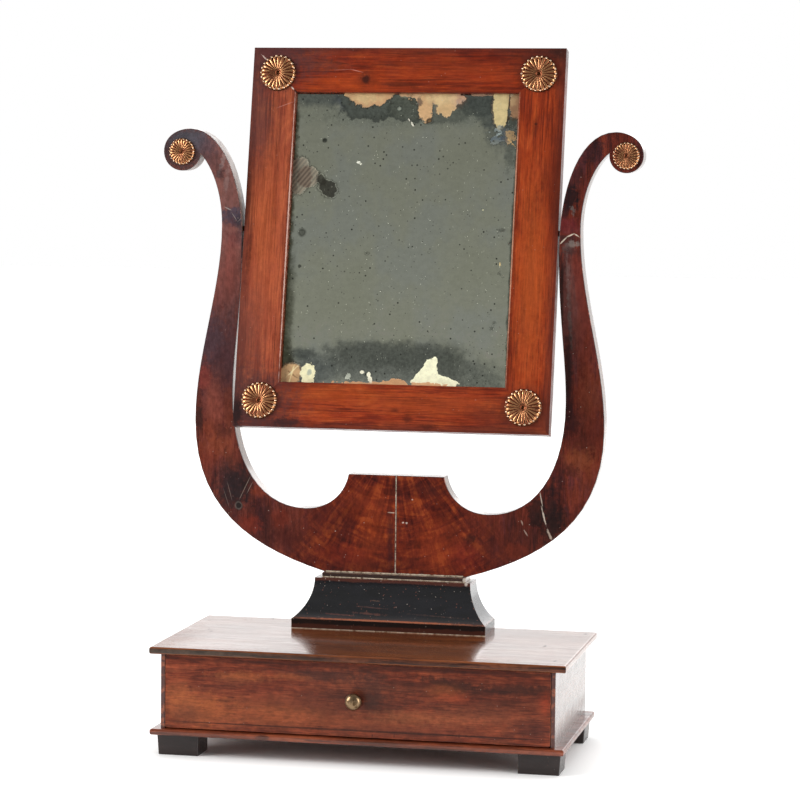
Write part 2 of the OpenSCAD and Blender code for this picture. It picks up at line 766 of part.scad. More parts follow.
module drawer_side(side) {
    color(pine)
        difference() {
            translate([side * (drawer_out_w - drawer_wall) / 2, 0, 0])
                bar(-drawer_wall / 2, drawer_wall / 2)
                    union() {
                        translate([side_front_y, drawer_z])
                            square([drawer_len - front_t - drawer_wall, drawer_h]);
                        tail_shapes(side_front_y + past, side_front_y - tail_len, 0, 0);
                        tail_shapes(drawer_back_y - drawer_wall - past, drawer_back_y, 0, 0);
                    }
            bottom_groove();
        }
}
module drawer_left_side() { drawer_side(-1); }
module drawer_right_side() { drawer_side(1); }

// The sockets that the tails of both sides fill, in the front or in the back
module sockets(narrow_y, wide_y, extra) {
    for (side = [-1, 1])
        translate([side * (drawer_out_w - drawer_wall) / 2, 0, 0])
            bar(-drawer_wall / 2 - tail_gap, drawer_wall / 2 + past)
                tail_shapes(narrow_y, wide_y, tail_gap, extra);
}

module drawer_front() {
    r = front_round;
    half = front_w / 2;
    high = front_z + front_h;
    color(mahogany)
        difference() {
            plate(side_front_y, front_t)
                polygon(concat(
                    arc([half - r, front_z + r], r, -90, 0, 4), arc([half - r, high - r], r, 0, 90, 4),
                    arc([-half + r, high - r], r, 90, 180, 4),
                    arc([-half + r, front_z + r], r, 180, 270, 4)));
            sockets(side_front_y + past, side_front_y - tail_len, tail_gap);
            bottom_groove();
            rod([0, side_front_y + past, knob_z], [90, 0, 0], shank_d + 2 * fit, front_t + 2 * past);
        }
}

module drawer_back() {
    color(pine)
        difference() {
            block([-drawer_out_w / 2, drawer_out_w / 2], [drawer_back_y - drawer_wall, drawer_back_y],
                [drawer_bottom_z + drawer_bottom_t, drawer_z + drawer_h]);
            sockets(drawer_back_y - drawer_wall - past, drawer_back_y, past);
        }
}

module drawer_bottom() {
    half = drawer_out_w / 2 - drawer_wall + groove_d - seat;
    color(pine)
        block([-half, half], [side_front_y - groove_d + seat, drawer_back_y - seat],
            [drawer_bottom_z + fit, drawer_bottom_z + drawer_bottom_t - fit]);
}

// A turned knob: a flange on the drawer, a waist and a domed head
module drawer_knob() {
    r = knob_d / 2;
    flange = r * 0.72;
    waist = r * 0.4;
    head = knob_len - 9;
    color(gilt)
        translate([0, face_y, knob_z])
            rotate([90, 0, 0]) {
                rotate_extrude()
                    polygon(concat([[0, 0], [flange, 0], [flange, 1.2], [flange - 1, 2.2], [waist + 1, 3]],
                        [[waist, 4.4], [waist, 5.6], [waist + 1.4, 7], [r - 1.4, 8], [r - 0.4, 8.5]],
                        [for (i = [0 : 9]) let (a = i * 10) [r * cos(a), 9 + head * sin(a)]],
                        [[0, knob_len]]));
                translate([0, 0, -front_t - nut_t - 2])
                    cylinder(d = shank_d, h = front_t + nut_t + 2 + past);
            }
}

module knob_nut() {
    color(iron)
        translate([0, side_front_y + seat + nut_t, knob_z])
            rotate([90, 0, 0])
                difference() {
                    cylinder(d = nut_d, h = nut_t, $fn = 6);
                    translate([0, 0, -past])
                        cylinder(d = shank_d + 2 * fit, h = nut_t + 2 * past);
                }
}

top_board();
box_left_end();
box_right_end();
box_back();
bottom_board();
top_brads();
bottom_brads();
front_left_foot();
front_right_foot();
rear_left_foot();
rear_right_foot();
foot_dowels();
plinth_base();
plinth_cove();
plinth_cap();
plinth_screws();
lyre_left_half();
lyre_right_half();
lyre_left_veneer();
lyre_right_veneer();
lyre_joint_dowels();
lyre_stand_dowels();
scroll_rosette_left();
scroll_rosette_right();
scroll_rosette_pins();
frame_top_rail();
frame_bottom_rail();
frame_left_stile();
frame_right_stile();
mirror_glass();
mirror_backboard();
backboard_sprigs();
rosette_top_left();
rosette_top_right();
rosette_bottom_left();
rosette_bottom_right();
frame_rosette_pins();
pivot_pin_left();
pivot_pin_right();
drawer_front();
drawer_left_side();
drawer_right_side();
drawer_back();
drawer_bottom();
drawer_knob();
knob_nut();
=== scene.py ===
# Looks of a mahogany dressing table mirror on a lyre stand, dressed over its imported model.
import math

import bpy
from mathutils import Euler, Matrix, Vector


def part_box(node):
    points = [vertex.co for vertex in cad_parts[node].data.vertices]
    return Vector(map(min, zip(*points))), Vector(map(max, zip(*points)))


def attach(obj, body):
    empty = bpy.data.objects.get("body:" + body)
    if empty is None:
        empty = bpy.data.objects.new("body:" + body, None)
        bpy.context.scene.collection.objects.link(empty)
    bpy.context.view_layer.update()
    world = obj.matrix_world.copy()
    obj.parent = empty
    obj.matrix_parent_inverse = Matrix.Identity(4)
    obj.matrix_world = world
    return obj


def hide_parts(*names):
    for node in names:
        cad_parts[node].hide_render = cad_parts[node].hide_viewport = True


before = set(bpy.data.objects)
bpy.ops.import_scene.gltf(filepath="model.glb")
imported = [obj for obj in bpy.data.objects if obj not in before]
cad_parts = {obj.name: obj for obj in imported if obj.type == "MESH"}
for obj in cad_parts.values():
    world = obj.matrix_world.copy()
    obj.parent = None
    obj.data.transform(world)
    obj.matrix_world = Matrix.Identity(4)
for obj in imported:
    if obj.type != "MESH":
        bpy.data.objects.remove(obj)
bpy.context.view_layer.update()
MM = 0.001


def place_of(node):
    """Lowest and highest corner of a CAD node in millimetres."""
    low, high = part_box(node)
    return low * 1000, high * 1000


# Places in millimetres, taken from the CAD pieces
FRONT_LOW, FRONT_HIGH = place_of("drawer_front")
CAP_LOW, CAP_HIGH = place_of("plinth_cap")
BASE_LOW, BASE_HIGH = place_of("plinth_base")
LYRE_FACE, LYRE_FOOT = place_of("lyre_right_veneer")[0].yz
LYRE = (0.0, LYRE_FACE, LYRE_FOOT)

# The mirror: its pivot line and lean, and its frame's edges and face, measured from the pivots along the lean
PIVOT = Vector((0.0, 82.568, 536.0))
LEAN = math.radians(11.5)
FRAME_TURN = (LEAN, 0, 0)
FRAME_TOP, FRAME_FOOT, FRAME_SIDE = 197.0, -214.0, 170.0
FRAME_FACE = -8.0

# Rosettes: their radii, how far in from the frame's corners they sit, their places on the scrolls, and the
# thin gap of old varnish behind them
ROSETTE, SCROLL_ROSETTE = 20.0, 14.5
ROSETTE_INSET = 28.0
SCROLL_LEFT, SCROLL_RIGHT, SCROLL_HEIGHT = -238.5, 241.0, 618.0
VARNISH = 0.1

# Camera

# Fitted to the photograph: its place in metres, its turns in degrees and its lens in millimetres
CAMERA_PLACE = (0.63977, -2.93461, 0.60644)
CAMERA_HEADING, CAMERA_DROP, CAMERA_ROLL = 11.9533, 4.6412, 0.622
CAMERA_LENS, CAMERA_SENSOR = 130.48, 36


def photo_camera():
    """The photograph's view: from the right, a little above, with a long lens."""
    data = bpy.data.cameras.new("photo_camera")
    data.sensor_width = CAMERA_SENSOR
    data.lens = CAMERA_LENS
    camera = bpy.data.objects.new("photo_camera", data)
    bpy.context.scene.collection.objects.link(camera)
    turn = (Matrix.Rotation(math.radians(CAMERA_HEADING), 4, "Z")
            @ Matrix.Rotation(math.radians(90 - CAMERA_DROP), 4, "X")
            @ Matrix.Rotation(math.radians(CAMERA_ROLL), 4, "Z"))
    camera.matrix_world = Matrix.Translation(CAMERA_PLACE) @ turn
    bpy.context.scene.camera = camera


# Materials

# Settings that come again on many nodes
SMOOTH = {"interpolation_type": "SMOOTHSTEP"}
COLOURS = {"out": 2, "data_type": "RGBA"}
TIMES = {"out": 2, "data_type": "RGBA", "blend_type": "MULTIPLY"}


def tone(code):
    """Linear colour of an sRGB hex value."""
    parts = [int(code[i:i + 2], 16) / 255 for i in (1, 3, 5)]
    return [c / 12.92 if c <= 0.04045 else ((c + 0.055) / 1.055) ** 2.4 for c in parts] + [1.0]


def add(tree, kind, links=None, out=0, stops=None, **settings):
    """Adds a node with its settings, sets or links its inputs, and gives one of its outputs.

    Inputs go by name or number. A Mix has its numbers in 2 and 3 and its colours in 6 and 7. A MapRange has
    its limits in 1 and 2 and what they become in 3 and 4.
    """
    node = tree.nodes.new("ShaderNode" + kind)
    for key, value in settings.items():
        setattr(node, key, value)
    if stops:
        ramp = node.color_ramp.elements
        while len(ramp) < len(stops):
            ramp.new(0.5)
        for mark, (at, colour) in zip(ramp, stops):
            mark.position = at
            mark.color = tone(colour)
    for key, value in (links or {}).items():
        if isinstance(value, bpy.types.NodeSocket):
            tree.links.new(value, node.inputs[key])
        elif isinstance(value, str):
            node.inputs[key].default_value = tone(value)
        else:
            node.inputs[key].default_value = value
    return node.outputs[out]


def finish(name, **sockets):
    """A new material with its shader's uniform values, and its node tree and shader."""
    material = bpy.data.materials.new(name)
    material.use_nodes = True
    shader = material.node_tree.nodes["Principled BSDF"]
    for key, value in sockets.items():
        shader.inputs[key.replace("_", " ")].default_value = value
    return material, material.node_tree, shader


def millimetres(tree, centre=(0, 0, 0), turn=(0, 0, 0)):
    """Object coordinates in millimetres about a centre, turned."""
    shift = -(Euler(turn).to_matrix() @ Vector(centre))
    return add(tree, "Mapping", {"Vector": add(tree, "TexCoord", out="Object"), "Scale": (1000, 1000, 1000),
                                 "Rotation": turn, "Location": shift})


def drift(shift):
    """The place in a pattern that a shift stands for."""
    return shift, shift * 0.7, shift * 1.3


def cloud(tree, place, sizes, shift=0.0, detail=3.0, rough=0.55, wander=0.0):
    """Soft random pattern, about 0.3 to 0.7, with its clouds' sizes in millimetres along the three axes."""
    spot = add(tree, "Mapping", {"Vector": place, "Scale": [1 / s for s in sizes], "Location": drift(shift)})
    return add(tree, "TexNoise", {"Vector": spot, "Scale": 1.0, "Detail": detail, "Roughness": rough,
                                  "Distortion": wander})


def layer(tree, under, over, pattern, low, high, full=1.0, none=0.0):
    """Lays one colour over another: its share is none up to a pattern's low limit and full from its high."""
    share = add(tree, "MapRange", {0: pattern, 1: low, 2: high, 3: none, 4: full}, **SMOOTH)
    return add(tree, "Mix", {0: share, 6: under, 7: over}, **COLOURS)


def shaded(tree, colour, pattern, low, high, dark, light):
    """A colour times dark up to a pattern's low limit, and times light from its high one."""
    shade = add(tree, "MapRange", {0: pattern, 1: low, 2: high, 3: dark, 4: light}, **SMOOTH)
    return add(tree, "Mix", {0: 1.0, 6: colour, 7: shade}, **TIMES)


def blot(x, z, half_x, half_z, colour, share=0.8, lean=0.0, ragged=0.9, soft=0.35):
    """A stain, chip or knot on a face: its centre and half sizes in millimetres, and its lean in degrees."""
    return (x, z), (half_x, half_z), lean, colour, share, ragged, soft


def nick(a, b, width, colour, share=0.9, ragged=0.6, soft=0.4):
    """A scratch or crack from one point to another."""
    long = math.dist(a, b)
    lean = math.degrees(math.atan2(b[1] - a[1], b[0] - a[0]))
    return ((a[0] + b[0]) / 2, (a[1] + b[1]) / 2), (long / 2, width / 2), lean, colour, share, ragged, soft


def marked(tree, place, colour, marks, level=False, grit=5.0, crisp=0.7):
    """Lays marks over a colour, and gives the colour and how far the marks cover the place.

    A level face has its marks in X and Y, an upright one in X and Z. Each mark is a ball gradient that
    reaches four times as far as the mark, so that its ragged outline lies well inside. A mark without a
    colour only covers.
    """
    reach, endless = 4.0, 9e3
    covered = 0.0
    if marks:
        ragged = cloud(tree, place, (grit, grit, grit), 3.1, 4, crisp)
    for (x, z), (half_x, half_z), lean, over, share, wild, soft in marks:
        if level:
            spot = {"Location": (x, z, 0), "Rotation": (0, 0, math.radians(lean)),
                    "Scale": (half_x * reach, half_z * reach, endless)}
        else:
            spot = {"Location": (x, 0, z), "Rotation": (0, -math.radians(lean), 0),
                    "Scale": (half_x * reach, endless, half_z * reach)}
        inside = add(tree, "Mapping", {"Vector": place, **spot}, vector_type="TEXTURE")
        near = add(tree, "TexGradient", {0: inside}, out="Fac", gradient_type="SPHERICAL")
        near = add(tree, "Math", {0: ragged, 1: -2 * wild / reach, 2: near}, operation="MULTIPLY_ADD")
        outer, inner = 1 - (1 + wild + soft) / reach, 1 - (1 + wild - soft) / reach
        cover = add(tree, "MapRange", {0: near, 1: outer, 2: inner, 4: share}, **SMOOTH)
        if over is not None:
            colour = add(tree, "Mix", {0: cover, 6: colour, 7: over}, **COLOURS)
        covered = add(tree, "Math", {0: covered, 1: cover}, operation="MAXIMUM")
    return colour, covered


def flecks(tree, place, cell=9.0, size=0.1, sparse=0.55, share=0.8, seed=0.0):
    """Cover of small dots, at most one in each cell of so many millimetres, in loose clusters."""
    cells = add(tree, "Mapping", {"Vector": place, "Scale": [1 / cell] * 3, "Location": drift(seed)})
    apart = add(tree, "TexVoronoi", {"Vector": cells, "Scale": 1.0}, out="Distance")
    dots = add(tree, "MapRange", {0: apart, 1: size * 0.6, 2: size * 1.3, 3: 1, 4: 0}, **SMOOTH)
    where = cloud(tree, place, [cell * 3] * 3, seed + 8, 2)
    thick = add(tree, "MapRange", {0: where, 1: sparse - 0.05, 2: sparse + 0.05, 4: share}, **SMOOTH)
    return add(tree, "Math", {0: dots, 1: thick}, operation="MULTIPLY")


def wood(name, tones, centre=(0, 0, 0), turn=(0, 0, 0), along=0, band=24.0, run=110.0, wander=0.6,
         streak=0.35, spread=0.15, seed=0.0, pores=0.15, patches=(), marks=(), level=False, coat=0.7,
         gloss=0.1, satin=0.13, rough=(0.3, 0.5), bump=0.06, dust=0.0, dull=(), dry=0.1, extra=None,
         wild=0.58, mottle=None):
    """French-polished wood: broad soft figure and fine streaks along one axis, open pores, patches and marks.

    Band and run are the width and length of its figure in millimetres. A patch has its tint, share, length,
    width and the limit that makes it rare. Mottle is the size in millimetres and the depth of the small light
    and dark places of an old polish. Dull marks take the polish off, and dry is how much of it streaks take.
    """
    material, tree, shader = finish(name, IOR=1.5, Coat_Weight=coat, Coat_Roughness=satin, Coat_IOR=1.55,
                                    Specular_IOR_Level=gloss)
    place = millimetres(tree, centre, turn)

    def grain(length, width, shift, detail, roughness, drawn=0.0):
        sizes = [width] * 3
        sizes[along] = length
        return cloud(tree, place, sizes, shift, detail, roughness, drawn)
    broad = grain(run, band, seed, 5, wild, wander)
    fine = grain(run * 0.4, band * 0.1, seed + 3, 4, 0.6, wander * 0.3)
    figure = add(tree, "Mix", {0: streak, 2: broad, 3: fine})
    steps = len(tones) - 1
    stops = [(0.5 - spread + 2 * spread * i / steps, t) for i, t in enumerate(tones)]
    colour = add(tree, "ValToRGB", {0: figure}, stops=stops)
    for number, (tint, share, length, width, rare) in enumerate(patches):
        patch = grain(length, width, seed + 5 + 4 * number, 5, 0.66, 0.5)
        colour = layer(tree, colour, tint, patch, rare - 0.06, rare + 0.06, share)
    if extra:
        colour = extra(tree, place, colour)
    colour = marked(tree, place, colour, marks, level)[0]
    if mottle:
        size, depth = mottle
        spots = grain(size * 1.8, size, seed + 11, 6, 0.72)
        colour = shaded(tree, colour, spots, 0.36, 0.64, 1 - depth, 1 + depth)
    if dust:
        grains = flecks(tree, place, 7.0, 0.07, 0.52, dust, seed)
        colour = add(tree, "Mix", {0: grains, 6: colour, 7: "#c8b4a6"}, **COLOURS)
    # Pores about 0.5 mm wide and 12 mm long, drawn a little coarser than real so that they show
    pore = grain(13, 0.8, seed + 9, 3, 0.6)
    colour = shaded(tree, colour, pore, 0.3, 0.5, 1 - pores, 1)
    tree.links.new(colour, shader.inputs["Base Color"])
    haze = cloud(tree, place, (14, 14, 14), 2, 4)
    tree.links.new(add(tree, "MapRange", {0: haze, 1: 0.35, 2: 0.65, 3: rough[0], 4: rough[1]}, **SMOOTH),
                   shader.inputs["Roughness"])
    if dull:
        gone = marked(tree, place, None, dull, level, 16.0)[1]
        kept = add(tree, "MapRange", {0: gone, 1: 0.0, 2: 1.0, 3: coat, 4: 0.0}, **SMOOTH)
        streaks = grain(run * 0.6, band * 0.24, seed + 14, 4, 0.6)
        streaks = add(tree, "MapRange", {0: streaks, 1: 0.35, 2: 0.65, 3: 1 - dry, 4: 1.0}, **SMOOTH)
        tree.links.new(add(tree, "Math", {0: kept, 1: streaks}, operation="MULTIPLY"),
                       shader.inputs["Coat Weight"])
    if bump:
        tree.links.new(add(tree, "Bump", {"Strength": bump, "Distance": 0.15 * MM, "Height": pore}),
                       shader.inputs["Normal"])
    return material


def worn_edge_and_highlight(name, polish, bare, share=0.5, size=9.0, seed=0.0):
    """An arris where handling has rubbed the polish off in stretches, down to lighter or redder wood, which
    on the frame and the plinth also paints its highlights.
    """
    material, tree, shader = finish(name, IOR=1.5, Roughness=0.45, Coat_Weight=0.35, Coat_Roughness=0.2)
    rubbed = cloud(tree, millimetres(tree), (size, size, size), seed, 5, 0.65)
    start = 0.62 - 0.24 * share
    tree.links.new(layer(tree, polish, bare, rubbed, start, start + 0.1), shader.inputs["Base Color"])
    return material


# Modelling

def only(piece):
    """Makes one object the only selected and active one."""
    bpy.ops.object.select_all(action="DESELECT")
    piece.select_set(True)
    bpy.context.view_layer.objects.active = piece


def dressed(node, body, skin, edge, width=0.8, sharp=30.0, front=None, back=None, halves=False):
    """A merged copy of a CAD piece with its arrises softened, the worn ones in a finish of their own.

    Front and back are finishes for the faces that look to the front and to the back. Halves cuts the faces
    at the piece's middle, so that none of them runs round a hole there.
    """
    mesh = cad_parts[node].data.copy()
    piece = bpy.data.objects.new(node + "_finished", mesh)
    bpy.context.scene.collection.objects.link(piece)
    mesh.materials.clear()
    mesh.materials.append(skin)
    mesh.materials.append(edge)
    only(piece)
    bpy.ops.object.mode_set(mode="EDIT")
    bpy.ops.mesh.select_mode(type="EDGE")
    bpy.ops.mesh.select_all(action="SELECT")
    bpy.ops.mesh.remove_doubles(threshold=0.002 * MM)
    bpy.ops.mesh.dissolve_limited(angle_limit=math.radians(0.3))
    if halves:
        bpy.ops.mesh.select_all(action="SELECT")
        bpy.ops.mesh.bisect(plane_co=(0, 0, 0), plane_no=(1, 0, 0))
        bpy.ops.mesh.select_all(action="SELECT")
        bpy.ops.mesh.vert_connect_concave()
    bpy.ops.mesh.select_all(action="DESELECT")
    bpy.ops.mesh.edges_select_sharp(sharpness=math.radians(sharp))
    bpy.ops.mesh.bevel(offset=width * MM, segments=2, affect="EDGES", material=1, clamp_overlap=True)
    bpy.ops.object.mode_set(mode="OBJECT")
    bpy.ops.object.shade_smooth_by_angle(angle=math.radians(50))
    # The broad faces keep their own direction, so that only the arrises shade round
    bpy.ops.object.modifier_add(type="WEIGHTED_NORMAL")
    piece.modifiers[0].keep_sharp = True
    piece.modifiers[0].weight = 100
    bpy.ops.object.modifier_apply(modifier=piece.modifiers[0].name)
    for finish_there, towards in ((front, -1), (back, 1)):
        if finish_there:
            mesh.materials.append(finish_there)
            for side in mesh.polygons:
                if side.normal.y * towards > 0.95 and side.material_index == 0:
                    side.material_index = len(mesh.materials) - 1
    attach(piece, body)
    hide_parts(node)


def outline(start, steps):
    """A chain of edges from a start point in metres, drawn by extruding its end, ready in edit mode."""
    bpy.ops.object.select_all(action="DESELECT")
    bpy.ops.mesh.primitive_plane_add(size=MM, location=start)
    piece = bpy.context.object
    piece.data.materials.clear()
    bpy.ops.object.transform_apply(location=True, rotation=True, scale=True)
    bpy.ops.object.mode_set(mode="EDIT")
    bpy.ops.mesh.select_mode(type="VERT")
    bpy.ops.mesh.select_all(action="SELECT")
    bpy.ops.mesh.merge(type="CENTER")
    for step in steps:
        bpy.ops.mesh.extrude_region_move(TRANSFORM_OT_translate={"value": step})
    bpy.ops.mesh.select_all(action="SELECT")
    return piece


def turned(name, profile, steps=48):
    """A turned piece about the Y axis: its profile has radius and height, towards -Y, in millimetres."""
    points = [Vector((r, -h, 0)) * MM for r, h in profile]
    moves = [b - a for a, b in zip(points, points[1:])]
    piece = outline(points[0], moves)
    piece.name = name
    bpy.ops.mesh.spin(steps=steps, angle=math.tau, center=(0, 0, 0), axis=(0, 1, 0))
    bpy.ops.mesh.select_all(action="SELECT")
    bpy.ops.mesh.remove_doubles(threshold=0.01 * MM)
    bpy.ops.mesh.normals_make_consistent(inside=False)
    bpy.ops.object.mode_set(mode="OBJECT")
    return piece


def settle(piece, matrix, body, slot, *replaced):
    """Moves a finished piece's mesh to its place, and lets it ride on its body and stand for CAD pieces."""
    piece.data.transform(matrix)
    piece.data.update()
    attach(piece, body)
    if replaced:
        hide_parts(*replaced)


def joined(name, pieces):
    """Several objects made one."""
    bpy.ops.object.select_all(action="DESELECT")
    for piece in pieces:
        piece.select_set(True)
    bpy.context.view_layer.objects.active = pieces[0]
    bpy.ops.object.join()
    pieces[0].name = name
    return pieces[0]


photo_camera()

# The box

# Brads, dents and old fillings in the polished top, measured from its middle
HOLE = "#33201a"
top_holes = [
    blot(-190.6, -95.7, 2.4, 3.2, HOLE), blot(-184, -97, 1.6, 3.4, HOLE), blot(-187, 5.4, 1.6, 4, "#3a241c"),
    blot(-180.6, -9.9, 1.6, 4, "#3a241c"), blot(-140, 92.6, 2.4, 2.4, HOLE), blot(199.6, -92.9, 2.2, 5, HOLE),
    blot(175.4, -5.7, 2, 6, HOLE), blot(205, 82, 2.4, 5, HOLE), blot(197.7, 39.9, 1.6, 4, HOLE)]
# The polish is gone in the same places, on the left end and along the front edge
top_dull = [
    blot(-214, -70, 30, 80, None, 0.8, soft=0.9), blot(0, -130, 260, 26, None, 0.65, soft=0.9),
    blot(-190.6, -96, 1.6, 3, None, ragged=1.2), blot(-187, 5, 1.2, 3.4, None, ragged=1.2),
    blot(-180.6, -10, 1.2, 3.4, None, ragged=1.2), blot(-140, 92.6, 2, 3, None, ragged=1.2),
    blot(199.6, -93, 2, 5, None, ragged=1.2), blot(175.4, -6, 1.6, 5, None, ragged=1.2),
    blot(205, 82, 1.8, 4, None, ragged=1.2)]
# French-polished mahogany: a thin hard shine that mirrors the plinth and the studio, with brown wood below
top_skin = wood("top_board_mahogany", ["#50260e", "#703a1a", "#884a24", "#96562c"], seed=2.0, level=True,
                coat=0.9, gloss=0.25, bump=0.0, rough=(0.2, 0.26), satin=0.09, dry=0.34, streak=0.5,
                marks=top_holes, dull=top_dull)
top_edge = worn_edge_and_highlight("top_board_arris", "#46342a", "#c0743e", 0.5, 30)
# The board's front is handled most: less gloss, dark, with a grey-brown stretch at the left
top_front = wood("top_board_front_mahogany", ["#30201a", "#4a2c20", "#643826", "#78442c"], band=3, run=60,
                 seed=4.0, coat=0.3, satin=0.25, mottle=(4, 0.25), patches=[("#1c1210", 0.7, 60, 2.5, 0.55)],
                 marks=[blot(-170, 110, 90, 6, "#4c463e", 0.7, soft=0.9),
                        blot(-60, 108, 40, 2, "#2c211c", 0.7, soft=0.7)])
dressed("top_board", "stand", top_skin, top_edge, 0.6, front=top_front)
# Polished mahogany of the bottom board: redder than the top, with dark scuffs along its edge
bottom_skin = wood("bottom_board_mahogany", ["#40200f", "#642e1a", "#803e26", "#924c30"], seed=6.0, coat=0.75,
                   satin=0.2, mottle=(5, 0.15), marks=[blot(-95, 25, 6, 3, "#2a1812", 0.7)],
                   patches=[("#2e1812", 0.6, 60, 3, 0.57)])
board_edge = worn_edge_and_highlight("bottom_board_arris", "#45241a", "#a45e3e", 0.5, 16, 3.0)
dressed("bottom_board", "stand", bottom_skin, board_edge, 0.6)
# Polished mahogany of the box's ends: smooth enough to mirror the white studio, duller along one band
end_skin = wood("box_end_mahogany", ["#3a2016", "#54301f", "#6c4430"], along=1, run=260, band=16, seed=11.0,
                coat=0.8, gloss=0.5, bump=0.0, rough=(0.24, 0.3), pores=0.0, satin=0.16, dry=0.05,
                dull=[blot(0, 42, 400, 9, None, 0.6, soft=0.9), blot(40, 70, 1.2, 1.4, None, 0.8),
                      blot(10, 82, 1.2, 1.2, None, 0.6)])
end_front = worn_edge_and_highlight("box_end_front", "#4a2016", "#8a4a2e", 0.5, 10, 8.0)
for side in ("left", "right"):
    dressed("box_%s_end" % side, "stand", end_skin, board_edge, 0.4, front=end_front)

# Marks on the drawer's front, from the object's middle and the table
drawer_marks = [
    blot(-96, 70, 60, 20, "#6e3020", 0.35, soft=0.9),
    # The dark streak above the knob, running to the right
    blot(-36, 91, 44, 6, "#3a2420", 0.7, soft=0.7),
    blot(16, 84, 14, 12, "#3c2420", 0.6, ragged=1.3, soft=0.8),
    blot(18, 66, 9, 7, "#3a211c", 0.7, ragged=1.3, soft=0.7),
    nick((72, 92), (130, 84), 8, "#2a1611", 0.85, ragged=1.4, soft=0.7),
    nick((124, 84), (200, 88), 9, "#2a1611", 0.8, ragged=1.4, soft=0.7),
    # Light clouds at the right and at the left
    blot(92, 80, 17, 7, "#96502a", 0.55, soft=0.6), blot(126, 56, 40, 9, "#a0583a", 0.5, soft=0.9),
    blot(-164, 50, 30, 14, "#a85c30", 0.6, ragged=1.4, soft=0.9),
    blot(-80, 52, 50, 12, "#9a542e", 0.5, soft=0.9), blot(-125, 82, 20, 6, "#80452c", 0.4, soft=0.8),
    # Dark stretches low down and at the upper right, and a darker cloud round the knob in the middle
    blot(60, 40, 60, 6, "#5a2a20", 0.5, soft=0.8), blot(140, 76, 70, 20, "#401a10", 0.55, soft=0.9),
    blot(0, 70, 56, 26, "#4a2a20", 0.5, ragged=1.2, soft=0.9),
    # A chip, nicks over the lower edge, painted shadow of the top board along the upper edge and painted
    # shade of the gap along the lower edge
    blot(-203, 67, 1.6, 1.4, "#d8d0c8", 0.9), nick((17.7, 30), (17.9, 34), 1, "#2a1410"),
    nick((40.4, 31), (40.4, 35), 1, "#2a1410"), nick((107, 34), (107, 38), 1, "#2a1410"),
    nick((-200, 101), (200, 101), 5, "#3a1a14", 0.6, soft=0.6),
    nick((-202, 36.4), (202, 36.4), 1.8, "#140a08", 0.9, ragged=0.3),
    # Small light and dark flames of the figure
    blot(-120, 86, 26, 4, "#a85a32", 0.55, ragged=1.4, soft=0.8),
    blot(-70, 88, 18, 3, "#a2542e", 0.5, ragged=1.4, soft=0.8),
    blot(-186, 62, 14, 14, "#a85c34", 0.45, soft=0.8), blot(-175, 46, 14, 8, "#4a2820", 0.5, soft=0.8),
    blot(100, 74, 15, 4, "#a8482a", 0.45, ragged=1.6, soft=0.8),
    blot(194, 73, 5, 9, "#a83e20", 0.4, ragged=1.6, soft=0.8),
    blot(-40, 44, 150, 7, "#964c2c", 0.4, soft=0.9),
    blot(-60, 62, 40, 5, "#6a3222", 0.5, ragged=1.4, soft=0.8),
    blot(110, 60, 30, 4, "#63301f", 0.5, ragged=1.4, soft=0.8),
    blot(60, 52, 40, 6, "#a8603a", 0.4, ragged=1.4, soft=0.9),
    blot(180, 46, 16, 9, "#4a241c", 0.5, soft=0.8)]
# Mahogany rubbed almost matt: warm clouds under a darker middle, dark streaks along the grain, open pores
front_skin = wood("drawer_front_mahogany", ["#4c1e12", "#74301c", "#8e4228", "#a45436"], seed=3.4, band=15,
                  run=70, wander=0.9, streak=0.5, spread=0.14, coat=0.25, satin=0.3, marks=drawer_marks,
                  dust=0.3, pores=0.36, mottle=(5, 0.2),
                  patches=[("#381a12", 0.5, 80, 8, 0.55), ("#40190f", 0.55, 30, 1.8, 0.55)])
front_edge = worn_edge_and_highlight("drawer_arris", "#4a2018", "#b8683a", 0.6, 12, 4.0)
dressed("drawer_front", "drawer", front_skin, front_edge, 0.6, halves=True)

# Black pieces

